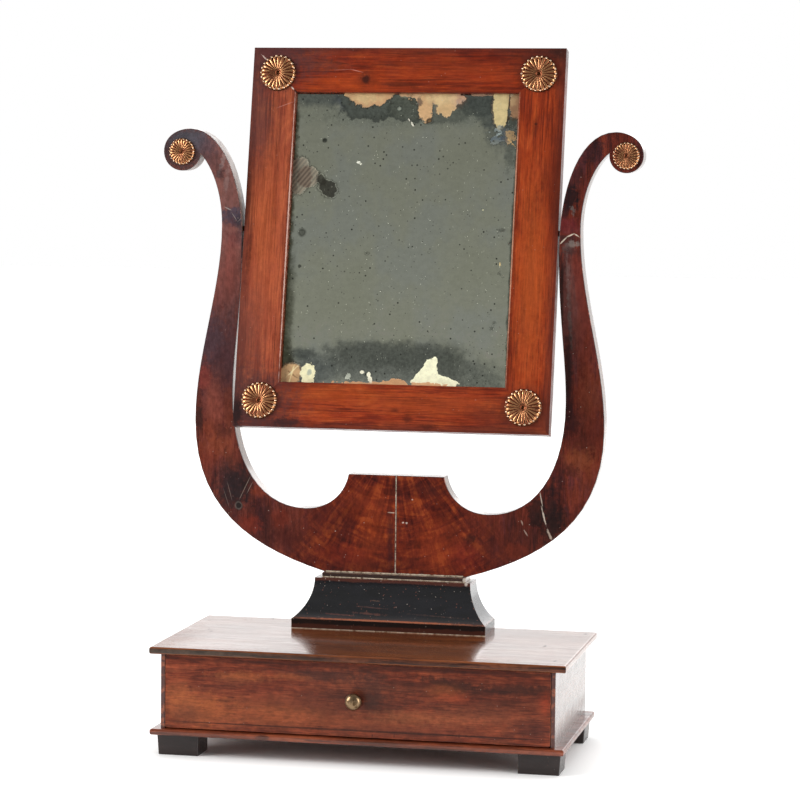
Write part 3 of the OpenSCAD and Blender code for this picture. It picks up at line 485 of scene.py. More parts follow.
def ebonised(name, black="#08080b", grey="#15151b", rubbed="#4a2820", share=0.3, specks=0.5, seed=0.0,
             bands=(), marks=(), coat=0.85, depth=1.6):
    """Black-stained and polished wood, dull with age, rubbed red-brown in bands and patches, with chips."""
    material, tree, shader = finish(name, IOR=1.6, Coat_Weight=coat, Coat_Roughness=0.16, Coat_IOR=depth,
                                    Specular_IOR_Level=0.1)
    place = millimetres(tree)
    stain = cloud(tree, place, (40, 18, 12), seed, 4, 0.6, 0.5)
    colour = add(tree, "ValToRGB", {0: stain}, stops=[(0.35, black), (0.7, grey)])
    worn = cloud(tree, place, (15, 8, 2), seed + 4, 6, 0.72)
    start = 0.74 - 0.16 * share
    colour = layer(tree, colour, rubbed, worn, start, start + 0.06, 0.9)
    # Bands have wavy borders: the height above the table, moved up and down by a cloud
    height = add(tree, "Math", {0: cloud(tree, place, (22, 22, 22), seed, 4, 0.7), 1: 5.0,
                                2: add(tree, "SeparateXYZ", {0: place}, out=2)}, operation="MULTIPLY_ADD")
    for low, high, tint, cover in bands:
        above = add(tree, "MapRange", {0: height, 1: low + 1.5, 2: low + 3.5, 4: cover}, **SMOOTH)
        below = add(tree, "MapRange", {0: height, 1: high + 1.5, 2: high + 3.5, 3: 1.0, 4: 0.0}, **SMOOTH)
        inside = add(tree, "Math", {0: above, 1: below}, operation="MULTIPLY")
        colour = add(tree, "Mix", {0: inside, 6: colour, 7: tint}, **COLOURS)
    colour = marked(tree, place, colour, marks)[0]
    chips = flecks(tree, place, 5.0, 0.1, 0.5, specks, seed)
    colour = add(tree, "Mix", {0: chips, 6: colour, 7: "#b9aea2"}, **COLOURS)
    rubs = flecks(tree, place, 4.0, 0.13, 0.52, specks, seed + 20)
    colour = add(tree, "Mix", {0: rubs, 6: colour, 7: "#8a5442"}, **COLOURS)
    tree.links.new(colour, shader.inputs["Base Color"])
    tree.links.new(add(tree, "MapRange", {0: worn, 1: 0.4, 2: 0.7, 3: 0.3, 4: 0.5}, **SMOOTH),
                   shader.inputs["Roughness"])
    tree.links.new(add(tree, "Bump", {"Strength": 0.08, "Distance": 0.3 * MM, "Height": worn}),
                   shader.inputs["Normal"])
    return material


# The plinth's arrises are rubbed through the black to paler wood, and that pale share also paints the
# highlights along them
plinth_edge = worn_edge_and_highlight("plinth_arris", "#33201e", "#c08468", 0.75, 9)
base_edge = worn_edge_and_highlight("plinth_base_arris", "#9a5434", "#c8703e", 0.8, 10)
foot_edge = worn_edge_and_highlight("foot_arris", "#343130", "#5a4a40", 0.4, 8, 2.0)
base_skin = ebonised("plinth_base_black", "#0e0908", "#1a0f0c", "#4a2418", 0.5, 0.5, 3.0,
                     [(BASE_LOW.z - 8, BASE_LOW.z + 5, "#4a2418", 0.7)], coat=0.5)
# The cove: a bare line at its foot, a pale spot at its upper right corner that is partly a chip and partly
# painted highlight of the lit end, and long rubbed streaks
cove_marks = [
    nick((-90, BASE_HIGH.z + 0.8), (90, BASE_HIGH.z + 0.8), 1.4, "#b0603a", 0.85, ragged=0.8, soft=0.5),
    blot(CAP_HIGH.x + 2, CAP_LOW.z - 1, 1.6, 1.8, "#e0d6c8", 0.8, ragged=0.8),
    nick((-36, 131), (-8, 130), 1.8, "#6e4236", 0.5, ragged=2.2, soft=0.7),
    nick((-66, 129), (-34, 128), 1.2, "#6a3a30", 0.5, ragged=2.2, soft=0.7),
    nick((-30, 137), (-6, 136), 1.0, "#5e3c34", 0.5, ragged=2.6, soft=0.7),
    nick((-22, 144), (-12, 143), 0.9, "#7a5a48", 0.5, ragged=2.6),
    nick((24, 132), (76, 130), 1.2, "#4a342c", 0.5, ragged=2.4, soft=0.7)]
cove_skin = ebonised("plinth_black", specks=0.8, seed=1.0, coat=1.0, depth=1.75, marks=cove_marks, bands=[
    (CAP_LOW.z - 3.2, CAP_LOW.z + 9, "#5c2e22", 0.75), (BASE_HIGH.z - 6, BASE_HIGH.z + 3, "#3c2018", 0.5)])
# The cap's pale spot at its right end is partly a chip and partly painted highlight of the lit end
cap_skin = ebonised("plinth_cap_black", "#2c1e1a", "#402a24", "#7c5040", 0.6, 0.7, 9.0, marks=[
    blot(CAP_HIGH.x - 1, CAP_LOW.z + 2, 1.8, 2.6, "#e0d6c8", 0.8, ragged=0.8)])
foot_skin = ebonised("foot_black", "#201614", "#302422", "#422c24", 0.3, 0.2, 6.0, coat=0.35)
dressed("plinth_base", "stand", base_skin, base_edge, 1.0)
dressed("plinth_cove", "stand", cove_skin, plinth_edge, 0.9, sharp=40)
dressed("plinth_cap", "stand", cap_skin, plinth_edge, 0.7)
for foot in ("front_left", "front_right", "rear_left", "rear_right"):
    dressed(foot + "_foot", "stand", foot_skin, foot_edge, 1.0)

# The lyre

def flame(tree, place, colour):
    """Bookmatched flame figure round the crest: streaks that fan down and out, with ripples across them."""
    apart = add(tree, "SeparateXYZ", {0: place}).node.outputs
    side = add(tree, "Math", {0: apart[0]}, operation="ABSOLUTE")
    # The fan spreads from a point above the crest, and the ripples are rings about one a little higher
    down = add(tree, "Math", {0: 150.0, 1: apart[2]}, operation="SUBTRACT")
    angle = add(tree, "Math", {0: side, 1: down}, operation="ARCTAN2")
    fan = add(tree, "CombineXYZ", {0: angle, 1: apart[0], 2: down})
    streaks = cloud(tree, fan, (1 / 13, 400, 60), 0, 5, 0.62, 1.1)
    above = add(tree, "Math", {0: apart[2], 1: 170.0}, operation="SUBTRACT")
    spot = add(tree, "CombineXYZ", {0: side, 2: above})
    ring = add(tree, "VectorMath", {0: spot}, out="Value", operation="LENGTH")
    ripples = cloud(tree, add(tree, "CombineXYZ", {0: ring, 2: apart[0]}), (8, 1, 30), 0, 4, 0.6, 0.8)
    mottle = cloud(tree, place, (5, 5, 7), 6, 6, 0.7)
    figure = add(tree, "Mix", {0: 0.5, 2: streaks, 3: ripples})
    figure = add(tree, "Mix", {0: 0.2, 2: figure, 3: mottle})
    figure = add(tree, "ValToRGB", {0: figure},
                 stops=[(0.4, "#3a110c"), (0.46, "#5a1d12"), (0.52, "#742a16"), (0.58, "#96421f")])
    # It fades out in an oval about 150 mm wide and 260 mm high at each side
    far = add(tree, "Math", {0: apart[2], 1: 1 / 260}, operation="MULTIPLY")
    far = add(tree, "Math", {0: side, 1: 1 / 150, 2: far}, operation="MULTIPLY_ADD")
    return layer(tree, colour, figure, far, 0.6, 1.1, 0.0, 1.0)


# Marks on the veneer, measured from the middle of the lyre's foot: those of both halves by the crest
crest_marks = [
    blot(-138, 42, 52, 34, "#48201a", 0.45, soft=0.9), blot(138, 40, 52, 34, "#44201a", 0.45, soft=0.9),
    blot(-30, 8, 50, 8, "#3c1612", 0.5, soft=0.9),
    blot(-52, 66, 10, 30, "#46180f", 0.45, lean=-30, soft=0.8),
    blot(50, 70, 8, 26, "#46180f", 0.45, lean=30, soft=0.8),
    blot(-26, 40, 12, 30, "#a8481f", 0.3, lean=-12, soft=0.9),
    # Dirt beside the open joint and a repair across it
    nick((-6.5, 62), (-5, 5), 6, "#38181a", 0.6, soft=0.6), nick((-9, 66.2), (-1, 66), 1.2, "#cdb8a4", 0.8),
    blot(81, 40, 7, 5, "#1a1010", 0.7, ragged=1.4),
    # Red and dark clouds
    blot(-30, 78, 26, 12, "#963c1e", 0.35, soft=0.9), blot(45, 30, 24, 22, "#983c1c", 0.45, soft=0.9),
    blot(-50, 18, 24, 9, "#8a2e1c", 0.4, soft=0.9), blot(76, 22, 14, 12, "#8a2c20", 0.35, soft=0.9),
    blot(-74, 62, 16, 14, "#4e1c16", 0.5, soft=0.9), blot(30, 92, 30, 7, "#471c16", 0.5, soft=0.8),
    blot(-58, 44, 12, 5, "#4c1a14", 0.4, soft=0.9),
    # Specks of pale filler
    blot(18, 81, 0.8, 0.8, "#d8c8b8", ragged=1.8), blot(8, 56, 0.9, 0.8, "#d8c8b8", ragged=1.8),
    blot(12, 55.6, 0.9, 0.8, "#d8c8b8", ragged=1.8), blot(-66, 44, 0.8, 0.8, "#d8c8b8", ragged=1.8)]
# The left arm from its scroll down
left_marks = [
    blot(-192, 400, 44, 130, "#86605a", 0.6, ragged=0.8, soft=0.7),
    blot(-190, 230, 40, 50, "#583c40", 0.6, soft=0.8),
    # The scroll, grey with wear
    blot(-238, 452, 27, 24, "#45393a", 0.8, soft=0.4),
    blot(-232, 462, 22, 9, "#52525a", 0.7, lean=10, soft=0.5),
    blot(-214, 455, 14, 8, "#5c5660", 0.6, lean=-25, soft=0.6),
    blot(-205, 440, 9, 20, "#5a3a3a", 0.6, lean=25, soft=0.6),
    blot(-194, 436, 2.4, 12, "#9a8884", 0.4, lean=-20, ragged=2.2),
    blot(-189, 418, 2.6, 16, "#8e7672", 0.4, lean=-8, ragged=1.9),
    blot(-196, 425, 4, 7, "#3e2c2e", 0.6, ragged=1.6), blot(-183, 400, 10, 7, "#7a4e48", 0.6, ragged=1.6),
    # The dark repair beside the frame, and its scratches
    blot(-180, 379, 14, 9, "#45404c", 0.85, ragged=1.4), blot(-174, 372, 7, 8, "#3a3238", 0.7, ragged=1.4),
    nick((-191, 389), (-184, 386), 1.2, "#b8aca4", 0.7),
    nick((-183.3, 383.5), (-177, 374), 0.7, "#a89c94", 0.6),
    nick((-176, 374), (-172, 378), 0.7, "#94887f", 0.6), blot(-180, 356, 9, 8, "#4e3438", 0.6, ragged=1.4),
    # Red and grey stretches down the arm
    blot(-184, 330, 8, 34, "#8a4238", 0.5, soft=0.7), blot(-196, 305, 9, 26, "#7c4038", 0.5, soft=0.7),
    nick((-170.5, 388), (-172, 300), 3, "#3c3038", 0.6),
    nick((-200, 330), (-212, 240), 3, "#4a3c46", 0.6, soft=0.7),
    # Clouds of the belly
    blot(-206, 246, 13, 26, "#4c3a42", 0.7, ragged=1.3, soft=0.6),
    blot(-186, 225, 14, 30, "#503438", 0.6, ragged=1.3, soft=0.8),
    blot(-212, 205, 8, 13, "#8a3c34", 0.7, ragged=1.3),
    blot(-196, 207, 10, 18, "#4c2c2c", 0.5, ragged=1.4, soft=0.8),
    blot(-203, 178, 11, 24, "#9a5040", 0.6, ragged=1.3, soft=0.8),
    blot(-184, 176, 7, 22, "#6e3424", 0.6, ragged=1.4), blot(-218, 160, 5, 12, "#38221f", 0.8, ragged=1.3),
    blot(-205, 150, 8, 10, "#8a402a", 0.5, ragged=1.6, soft=0.7),
    blot(-192, 148, 10, 8, "#4e2820", 0.6, ragged=1.6),
    blot(-196, 132, 14, 11, "#8c442a", 0.55, ragged=1.7, soft=0.7),
    blot(-206, 118, 8, 13, "#7c3424", 0.5, ragged=1.5, soft=0.7),
    blot(-186, 112, 11, 9, "#84402a", 0.5, ragged=1.7, soft=0.7),
    # The black stain, with a burnt ring and scratches round it
    blot(-184, 96, 16, 18, "#2c2022", 0.8, ragged=1.2, soft=0.9),
    blot(-174, 88, 14, 18, "#241c1e", 0.8, ragged=1.2, soft=0.8),
    blot(-182, 76, 16, 14, "#2a2022", 0.75, ragged=1.2, soft=0.9),
    blot(-164, 98, 7, 12, "#2c2020", 0.6, ragged=1.2, soft=0.8),
    blot(-173.5, 68, 4.4, 4.4, "#5c5650", 0.7, ragged=0.2, soft=0.2),
    blot(-173.5, 68, 3.0, 3.0, "#231d1c", 0.95, ragged=0.2, soft=0.2),
    nick((-161, 99), (-172, 76), 0.7, "#a08e80", 0.6), nick((-158, 94), (-164, 82), 0.7, "#a08e80", 0.5),
    nick((-186, 92), (-181, 74), 0.7, "#8a7a70", 0.5), nick((-190, 84), (-184, 66), 0.7, "#8a7a70", 0.4),
    # Clouds towards the foot
    blot(-150, 84, 9, 6, "#8a3c26", 0.6, ragged=1.4),
    blot(-145, 52, 9, 22, "#241416", 0.65, lean=12, ragged=1.2, soft=0.9),
    blot(-160, 48, 12, 9, "#7a2e20", 0.6, ragged=1.5), blot(-126, 56, 10, 10, "#752c1c", 0.5, ragged=1.4),
    blot(-118, 36, 18, 8, "#4a1c16", 0.6, ragged=1.2)]
# The right arm from its scroll down
right_marks = [
    nick((205, 470), (184, 440), 5, "#7a2c24", 0.5, ragged=1.2),
    nick((190, 446), (178, 412), 4, "#76302a", 0.5, ragged=1.2),
    blot(206, 452, 12, 8, "#2c1a1e", 0.6, lean=40, ragged=1.3),
    blot(188, 425, 6, 16, "#301c20", 0.6, lean=-20, ragged=1.3),
    # The black stretch and the red filling above the crack
    blot(182, 404, 9, 12, "#181215", 0.85, ragged=1.3), blot(176, 390, 7, 10, "#221619", 0.7, ragged=1.3),
    blot(186, 391, 2.4, 5, "#7a706c", 0.5, ragged=2.6),
    blot(181, 374, 12, 9, "#682228", 0.65, ragged=0.9, soft=0.5),
    blot(180, 360, 10, 5, "#221618", 0.7, ragged=1.2), blot(186, 355, 5.5, 3.6, "#8c8880", 0.7, ragged=1.9),
    blot(180, 350, 5, 5, "#5a504c", 0.6, ragged=1.9), blot(184, 348, 8, 4, "#2a2020", 0.75, ragged=1.6),
    # The grey stretch and streaks below the crack
    blot(184, 290, 13, 58, "#6a4440", 0.65, ragged=0.9, soft=0.8),
    nick((174.5, 345), (176, 250), 3.4, "#1e1414", 0.7, soft=0.6),
    nick((180, 344), (184, 285), 4, "#6a5450", 0.6, ragged=1.6, soft=0.7),
    nick((182, 300), (187, 240), 3.4, "#76625c", 0.6, ragged=1.8),
    blot(194, 312, 5, 36, "#6e2a20", 0.6, lean=8, ragged=0.9),
    blot(201, 262, 8, 34, "#6c2e22", 0.6, ragged=0.9, soft=0.6),
    blot(183, 222, 5, 46, "#1e1213", 0.8, ragged=0.9, soft=0.6),
    # The white crack, and clouds below
    nick((172.6, 355.4), (180, 363), 1.4, "#d8c8b4"), nick((180, 363), (187.5, 366.4), 1.4, "#d8c8b4"),
    nick((187.5, 366.4), (193, 363), 1.2, "#d8c8b4"),
    blot(207, 196, 12, 27, "#84402a", 0.55, lean=-6, ragged=1.3, soft=0.8),
    blot(212, 160, 9, 22, "#6a2c20", 0.6, ragged=1.3),
    blot(188, 170, 11, 16, "#28161a", 0.7, ragged=1.2, soft=0.8),
    blot(198, 145, 12, 10, "#5e2a20", 0.6, ragged=1.4),
    blot(196, 128, 15, 12, "#8c482a", 0.6, ragged=1.6, soft=0.7),
    blot(205, 108, 11, 16, "#783624", 0.5, ragged=1.5, soft=0.7),
    blot(188, 118, 7, 7, "#4a2018", 0.7, ragged=1.8),
    blot(176, 112, 6, 18, "#24161a", 0.6, ragged=1.2, soft=0.9),
    # The black stain and its pale cracks
    blot(192, 90, 9, 9, "#6e3020", 0.6, ragged=1.7),
    blot(168, 80, 10, 22, "#1a1316", 0.75, lean=-4, ragged=1.2, soft=0.8),
    blot(170, 58, 14, 18, "#1e1514", 0.8, lean=-20, ragged=1.2, soft=0.7),
    blot(152, 72, 9, 16, "#201514", 0.75, ragged=1.3),
    nick((155.4, 92.7), (158.0, 80), 1.2, "#d0c0b0", 0.85, ragged=1.2),
    nick((157.6, 76), (162.5, 58), 1.5, "#d0c0b0", 0.9, ragged=1.4),
    nick((163, 56), (168.9, 42.2), 2.2, "#b8a696", 0.9, ragged=1.6),
    nick((135.5, 63.3), (138, 57), 1.6, "#b8a090", 0.7, ragged=1.6),
    nick((138.5, 53), (142.1, 47.6), 1.4, "#b8a090", 0.7, ragged=1.6),
    # Clouds towards the foot
    blot(184, 42, 11, 10, "#7a3222", 0.6, ragged=1.6), blot(198, 66, 9, 16, "#5a241a", 0.6, ragged=1.4),
    blot(130, 30, 16, 9, "#6e2c1c", 0.5, ragged=1.4)]


def lyre_face(side, tones, marks):
    """Polished mahogany veneer, much worn: dark, red and orange clouds, and a flame figure at the crest."""
    patches = [("#7c3420", 0.4, 34, 11, 0.57), ("#22151a", 0.5, 44, 7, 0.58), ("#5c3036", 0.4, 50, 10, 0.57)]
    return wood("lyre_%s_face" % side, tones, centre=LYRE, along=2, band=13, run=60, wander=0.8, streak=0.42,
                spread=0.13, seed=5.0, wild=0.66, mottle=(4.0, 0.18), patches=patches,
                marks=crest_marks + marks, extra=flame, dust=0.55)


# Polished mahogany of the core: its curved sides mirror the studio, but the left scroll's side is dull
core_skin = wood("lyre_core_mahogany", ["#4c3020", "#684630", "#805c42"], centre=LYRE, along=2, band=16,
                 seed=8.0, coat=0.9, gloss=0.4, bump=0.0, rough=(0.25, 0.35),
                 dull=[blot(-205, 420, 60, 70, None, 0.95, soft=0.4)])
arm_edge = worn_edge_and_highlight("lyre_arris", "#3a1c18", "#b0705c", 0.35, 10, 1.0)
left_face = lyre_face("left", ["#3a1816", "#5a271e", "#74362a", "#864535"], left_marks)
right_face = lyre_face("right", ["#331310", "#542117", "#6e2c1f", "#803828"], right_marks)
dressed("lyre_left_veneer", "stand", left_face, arm_edge, 0.5)
dressed("lyre_right_veneer", "stand", right_face, arm_edge, 0.5)
for side in ("left", "right"):
    dressed("lyre_%s_half" % side, "stand", core_skin, arm_edge, 0.5)


def glue_and_highlight_finish():
    """Dried hide glue and dust in an open joint: dull, pale and uneven. Along the plinth base's foot the same
    finish paints a highlight.
    """
    material, tree, shader = finish("glue_and_highlight_finish", Roughness=0.85, Specular_IOR_Level=0.2)
    grime = cloud(tree, millimetres(tree), (4, 4, 4), 2, 4, 0.7)
    colour = add(tree, "ValToRGB", {0: grime}, stops=[(0.36, "#5a4438"), (0.46, "#b8a68e"), (0.6, "#ded0ba")])
    tree.links.new(colour, shader.inputs["Base Color"])
    return material


glue = glue_and_highlight_finish()


def seam(name, start, end, width, proud, slot, wild=0.35, cuts=40):
    """A ragged pale thread along a joint of the stand, between two points in millimetres: old glue at most
    joints, and a painted highlight at the plinth base's foot.
    """
    start, end = Vector(start), Vector(end)
    long = (end - start).length
    bpy.ops.object.select_all(action="DESELECT")
    bpy.ops.mesh.primitive_cube_add(size=1)
    piece = bpy.context.object
    piece.name = name
    piece.scale = (long, proud, width)
    bpy.ops.object.transform_apply(location=False, rotation=False, scale=True)
    bpy.ops.object.mode_set(mode="EDIT")
    for cut in range(1, cuts):
        bpy.ops.mesh.select_all(action="SELECT")
        bpy.ops.mesh.bisect(plane_co=(long * (cut / cuts - 0.5), 0, 0), plane_no=(1, 0, 0))
    bpy.ops.object.mode_set(mode="OBJECT")
    # Waves of unlike lengths make it thick and thin, and push it in and out
    for vertex in piece.data.vertices:
        at = vertex.co.x
        vertex.co.z *= 1 + wild * (math.sin(at * 1.9) + math.sin(at * 0.83 + 1.3) * 0.8) / 2
        vertex.co.y += proud * 0.25 * math.sin(at * 1.31 + vertex.co.z)
    lean = math.atan2(end.z - start.z, end.x - start.x)
    matrix = Matrix.Scale(MM, 4) @ Matrix.Translation((start + end) / 2) @ Matrix.Rotation(-lean, 4, "Y")
    piece.data.materials.append(glue)
    settle(piece, matrix, "stand", slot)


joint, foot = LYRE_FACE + 0.9, LYRE_FOOT + 0.5
seam("middle_joint_glue", (0, joint, foot), (0, joint, LYRE_FOOT + 105.6), 0.9, 1.2, "flame_veneer", 0.1)
seam("lyre_foot_glue", (CAP_LOW.x + 2, LYRE_FACE + 0.1, foot), (CAP_HIGH.x - 4, LYRE_FACE + 0.1, foot), 1.4,
     0.5, "ebonised")
seam("cap_foot_glue", (CAP_LOW.x, CAP_LOW.y + 0.1, CAP_LOW.z + 0.2),
     (CAP_HIGH.x, CAP_LOW.y + 0.1, CAP_LOW.z + 0.2), 0.95, 0.5, "ebonised", 0.2)
# The pale thread along the base's foot is a painted highlight of its lower arris
seam("base_foot_painted_highlight", (BASE_LOW.x, BASE_LOW.y + 0.1, BASE_LOW.z + 0.4),
     (BASE_HIGH.x, BASE_LOW.y + 0.1, BASE_LOW.z + 0.4), 0.45, 0.4, "ebonised", 0.15)

# The mirror's frame

def frame_edge_darkening(level, outer):
    """Darker colour towards the outer edge of a frame member, and a thin dark line by the glass that paints
    the shade where the frame meets it.
    """
    def darken_edges(tree, place, colour):
        # How far in from the outer edge, in millimetres, made wavy by a cloud
        across = add(tree, "SeparateXYZ", {0: place}, out=2 if level else 0)
        depth = add(tree, "Math", {0: outer, 1: across}, operation="SUBTRACT")
        depth = add(tree, "Math", {0: depth}, operation="ABSOLUTE")
        depth = add(tree, "Math", {0: cloud(tree, place, (30, 30, 30), 7), 1: 10.0, 2: depth},
                    operation="MULTIPLY_ADD")
        colour = layer(tree, colour, "#4e2620", depth, 5, 18, 0.0, 0.65)
        # Painted shade: the thin dark line by the glass
        return layer(tree, colour, "#561c10", depth, 47, 54, 0.5)
    return darken_edges


# Marks on the frame, measured along its lean from the pivots: those round the corners
corner_marks = [
    blot(-150, 186, 44, 30, "#523030", 0.85, soft=0.8), blot(150, 188, 36, 22, "#4e2219", 0.75, soft=0.9),
    blot(-160, 120, 12, 40, "#5c3836", 0.6, soft=0.8), blot(-160, -120, 16, 50, "#5e3430", 0.6, soft=0.8),
    blot(-150, -192, 44, 34, "#4e302f", 0.9, soft=0.8), blot(148, -198, 34, 24, "#5e2c20", 0.7, soft=0.9),
    blot(-167, -200, 6, 18, "#1f1618", 0.85, soft=0.6), blot(-112, -209, 14, 6, "#261a1c", 0.7, soft=0.6),
    blot(165, 192, 12, 6, "#2e1c18", 0.6, soft=0.7), nick((-161.5, 188.8), (-152, 180), 1.2, "#e4cabc"),
    nick((-126.7, 153.8), (-123.8, 151), 1.5, "#f0dccc"),
    nick((-123.6, 151), (-119.7, 147.2), 1.6, "#1c100e")]
# The top rail: an orange stretch, a knot and two long scratches
top_marks = [
    blot(-62, 158, 44, 8, "#b04418", 0.6, soft=0.9),
    blot(-45.2, 163, 4.0, 5.2, "#140c0a", 0.9, ragged=1.3, soft=0.7),
    blot(-45.2, 163, 9, 8, "#4c1c10", 0.5, soft=0.9), blot(-8, 157, 20, 3, "#3c1610", 0.6, soft=0.7),
    blot(-104, 180, 30, 9, "#5a302a", 0.6, soft=0.9), blot(20, 181, 60, 5, "#5c2014", 0.5, soft=0.9),
    nick((-79.8, 172.6), (-62, 173.4), 0.7, "#c07a68", 0.5),
    nick((-62, 173.4), (-50, 170.5), 0.8, "#d89484", 0.6),
    nick((-108, 186), (-60, 178), 2.0, "#5e2818", 0.5),
    nick((-110, 171), (-70, 176), 3.0, "#5e2818", 0.4, soft=0.7),
    blot(60, 172, 70, 9, "#983c1a", 0.4, soft=0.9)]
# The bottom rail: small dark spots and light stretches
bottom_marks = [
    blot(18.9, -201.4, 5, 4, "#3a1610", 0.6, soft=0.7), blot(5.5, -193, 4, 2, "#3a1610", 0.6, soft=0.7),
    blot(41.9, -209, 9, 2.5, "#3a1610", 0.6, soft=0.7), blot(-70, -178, 60, 8, "#a24418", 0.6, soft=0.9),
    blot(60, -186, 70, 9, "#a04620", 0.5, soft=0.9), blot(100, -196, 20, 9, "#5e2416", 0.5, soft=0.9)]
# The left stile: a painted reflection of the studio along its edge by the glass, and orange clouds
left_stile_marks = [
    nick((-122.4, -165), (-122.2, 148), 1.3, "#e0bcae", 0.85, ragged=0.8),
    nick((-141, 131), (-124, 137.5), 1.0, "#c08070", 0.7), blot(-146, 0, 13, 84, "#b4582e", 0.5, soft=0.9),
    blot(-148, -90, 15, 50, "#bc6040", 0.4, soft=0.9), blot(-152, 110, 18, 44, "#5c3028", 0.35, soft=0.9)]
# The right stile: a painted highlight along its edge by the glass, a worm hole, and orange clouds
right_stile_marks = [
    nick((122.3, -160), (122.3, 145), 1.3, "#d0a084", 0.75, ragged=0.8),
    blot(141.1, 115.3, 1.3, 1.3, "#1c100c", 0.9), blot(140, 112, 3, 9, "#5a2012", 0.5, soft=0.7),
    blot(144, -50, 14, 90, "#bc5826", 0.6, soft=0.9), blot(162, 60, 6, 90, "#64200f", 0.5, soft=0.9)]
members = {
    "frame_top_rail": (0, FRAME_TOP, ["#701f0c", "#8e2e12", "#a23c18", "#b44c20"], top_marks),
    "frame_bottom_rail": (0, FRAME_FOOT, ["#782612", "#9a381a", "#b04820", "#c25c2c"], bottom_marks),
    "frame_left_stile": (2, -FRAME_SIDE, ["#843424", "#a04a32", "#b45a3a", "#c26640"], left_stile_marks),
    "frame_right_stile": (2, FRAME_SIDE, ["#722210", "#943414", "#ac431c", "#be5526"], right_stile_marks),
}
BACK_TONES = ["#4c3020", "#64422c", "#7a5438", "#6c4a32"]
# The frame's arrises are rubbed to pinkish-tan wood, and that pale share also paints the highlights along
# them
frame_edge = worn_edge_and_highlight("frame_arris", "#5a2a20", "#c8886a", 0.45, 8, 6.0)
# The frame's back is planed mahogany that never had polish: dry, brown and open-grained
rail_back = wood("frame_back_rails", BACK_TONES, centre=PIVOT, turn=FRAME_TURN, band=9, run=120, seed=41.0,
                 coat=0.0, rough=(0.55, 0.7), pores=0.25)
stile_back = wood("frame_back_stiles", BACK_TONES, centre=PIVOT, turn=FRAME_TURN, along=2, band=9, run=120,
                  seed=44.0, coat=0.0, rough=(0.55, 0.7), pores=0.25)
# Orange-red polished mahogany with brown stripes, more matt than the lyre, one piece of wood for each member
stripes = [("#5c1a0c", 0.5, 80, 7, 0.57), ("#3e140c", 0.6, 60, 1.4, 0.57), ("#481810", 0.5, 110, 2.4, 0.58)]
for number, (node, (along, outer, tones, marks)) in enumerate(members.items()):
    level = along == 0
    skin = wood(node + "_mahogany", tones, centre=PIVOT, turn=FRAME_TURN, along=along, band=19, run=90,
                wander=1.5, seed=20.0 + 3 * number, pores=0.18, coat=0.35, marks=marks + corner_marks,
                dust=0.25, mottle=(4, 0.08), streak=0.38, extra=frame_edge_darkening(level, outer), patches=stripes)
    dressed(node, "mirror", skin, frame_edge, 1.3, back=rail_back if level else stile_back)

# The old glass

# Where the silver has dulled, measured as on the frame
dulled = [
    blot(0, 124, 110, 12, "#c8d0bc", 0.6, ragged=0.6, soft=0.5),
    blot(0, -150, 90, 18, "#b4bab0", 0.7, ragged=0.5, soft=0.5),
    # Along the top
    blot(-95, 144, 36, 10, "#88928c", 0.8, ragged=0.8, soft=0.5),
    blot(-64, 140, 15, 12, "#7e8890", 0.8, ragged=0.8, soft=0.3),
    blot(-40, 136, 36, 16, "#5c655e", 0.8, ragged=0.8, soft=0.1),
    blot(-40, 139, 34, 15.5, "#a0a99c", 0.8, ragged=0.8, soft=0.2),
    blot(2, 130, 24, 13, "#5c655e", 0.8, ragged=0.8, soft=0.1),
    blot(2, 132.5, 22.5, 13, "#a6ae9c", 0.8, ragged=0.8, soft=0.2),
    blot(80, 137, 26, 13, "#606a66", 0.85, ragged=0.7, soft=0.15),
    blot(80, 140, 24, 12, "#8c958c", 0.7, ragged=0.7, soft=0.4),
    blot(88, 124, 12, 12, "#8f988e", 0.8, ragged=0.7, soft=0.3),
    blot(44, 126, 30, 9, "#98a092", 0.7, ragged=0.8, soft=0.3),
    # The right edge's upper end
    blot(108, 112, 18, 26, "#98a098", 0.8, ragged=0.9, soft=0.4),
    blot(116, 84, 8, 20, "#a4ac9e", 0.7, ragged=1.2, soft=0.4),
    # Along the foot
    blot(-34, -138, 48, 18, "#a0a69a", 0.9, ragged=0.7, soft=0.5),
    blot(34, -138, 44, 18, "#989e92", 0.9, ragged=0.7, soft=0.5),
    blot(-4, -133, 66, 14, "#8e9488", 0.7, ragged=0.6, soft=0.3),
    blot(84, -158, 40, 18, "#a6ac9e", 0.8, ragged=0.6, soft=0.5),
    blot(-92, -152, 22, 18, "#969e98", 0.8, ragged=0.6, soft=0.5),
    blot(-101, -134, 16, 6, "#7c837c", 0.8, ragged=0.8, soft=0.5),
    blot(62, -140, 16, 16, "#8e9486", 0.6, lean=-30, ragged=0.8, soft=0.7),
    blot(-118, -150, 10, 26, "#4c4a34", 0.9, ragged=0.8, soft=0.4),
    # A dark brown and green band down the left edge that paints a reflection, a green edge at the right, and
    # spots with pale middles
    nick((-122, -150), (-121, 140), 8, "#5c5a3e", 0.9, ragged=1.2, soft=0.5),
    blot(-118, -90, 6, 60, "#6c6e54", 0.8, ragged=1.0, soft=0.7),
    nick((121, -150), (121, 100), 4, "#6c7264", 0.85, ragged=1.4, soft=0.6),
    blot(-107.4, -3.6, 4.6, 4.6, "#6c7062", 0.8, ragged=0.4),
    blot(-107.4, -3.6, 2.2, 2.2, "#a8ac9c", 0.9, ragged=0.4),
    blot(-88, 97.1, 2.6, 2.6, "#50544a", 0.9, ragged=0.5), blot(-108, -40, 2, 2, "#5c6056", 0.8)]
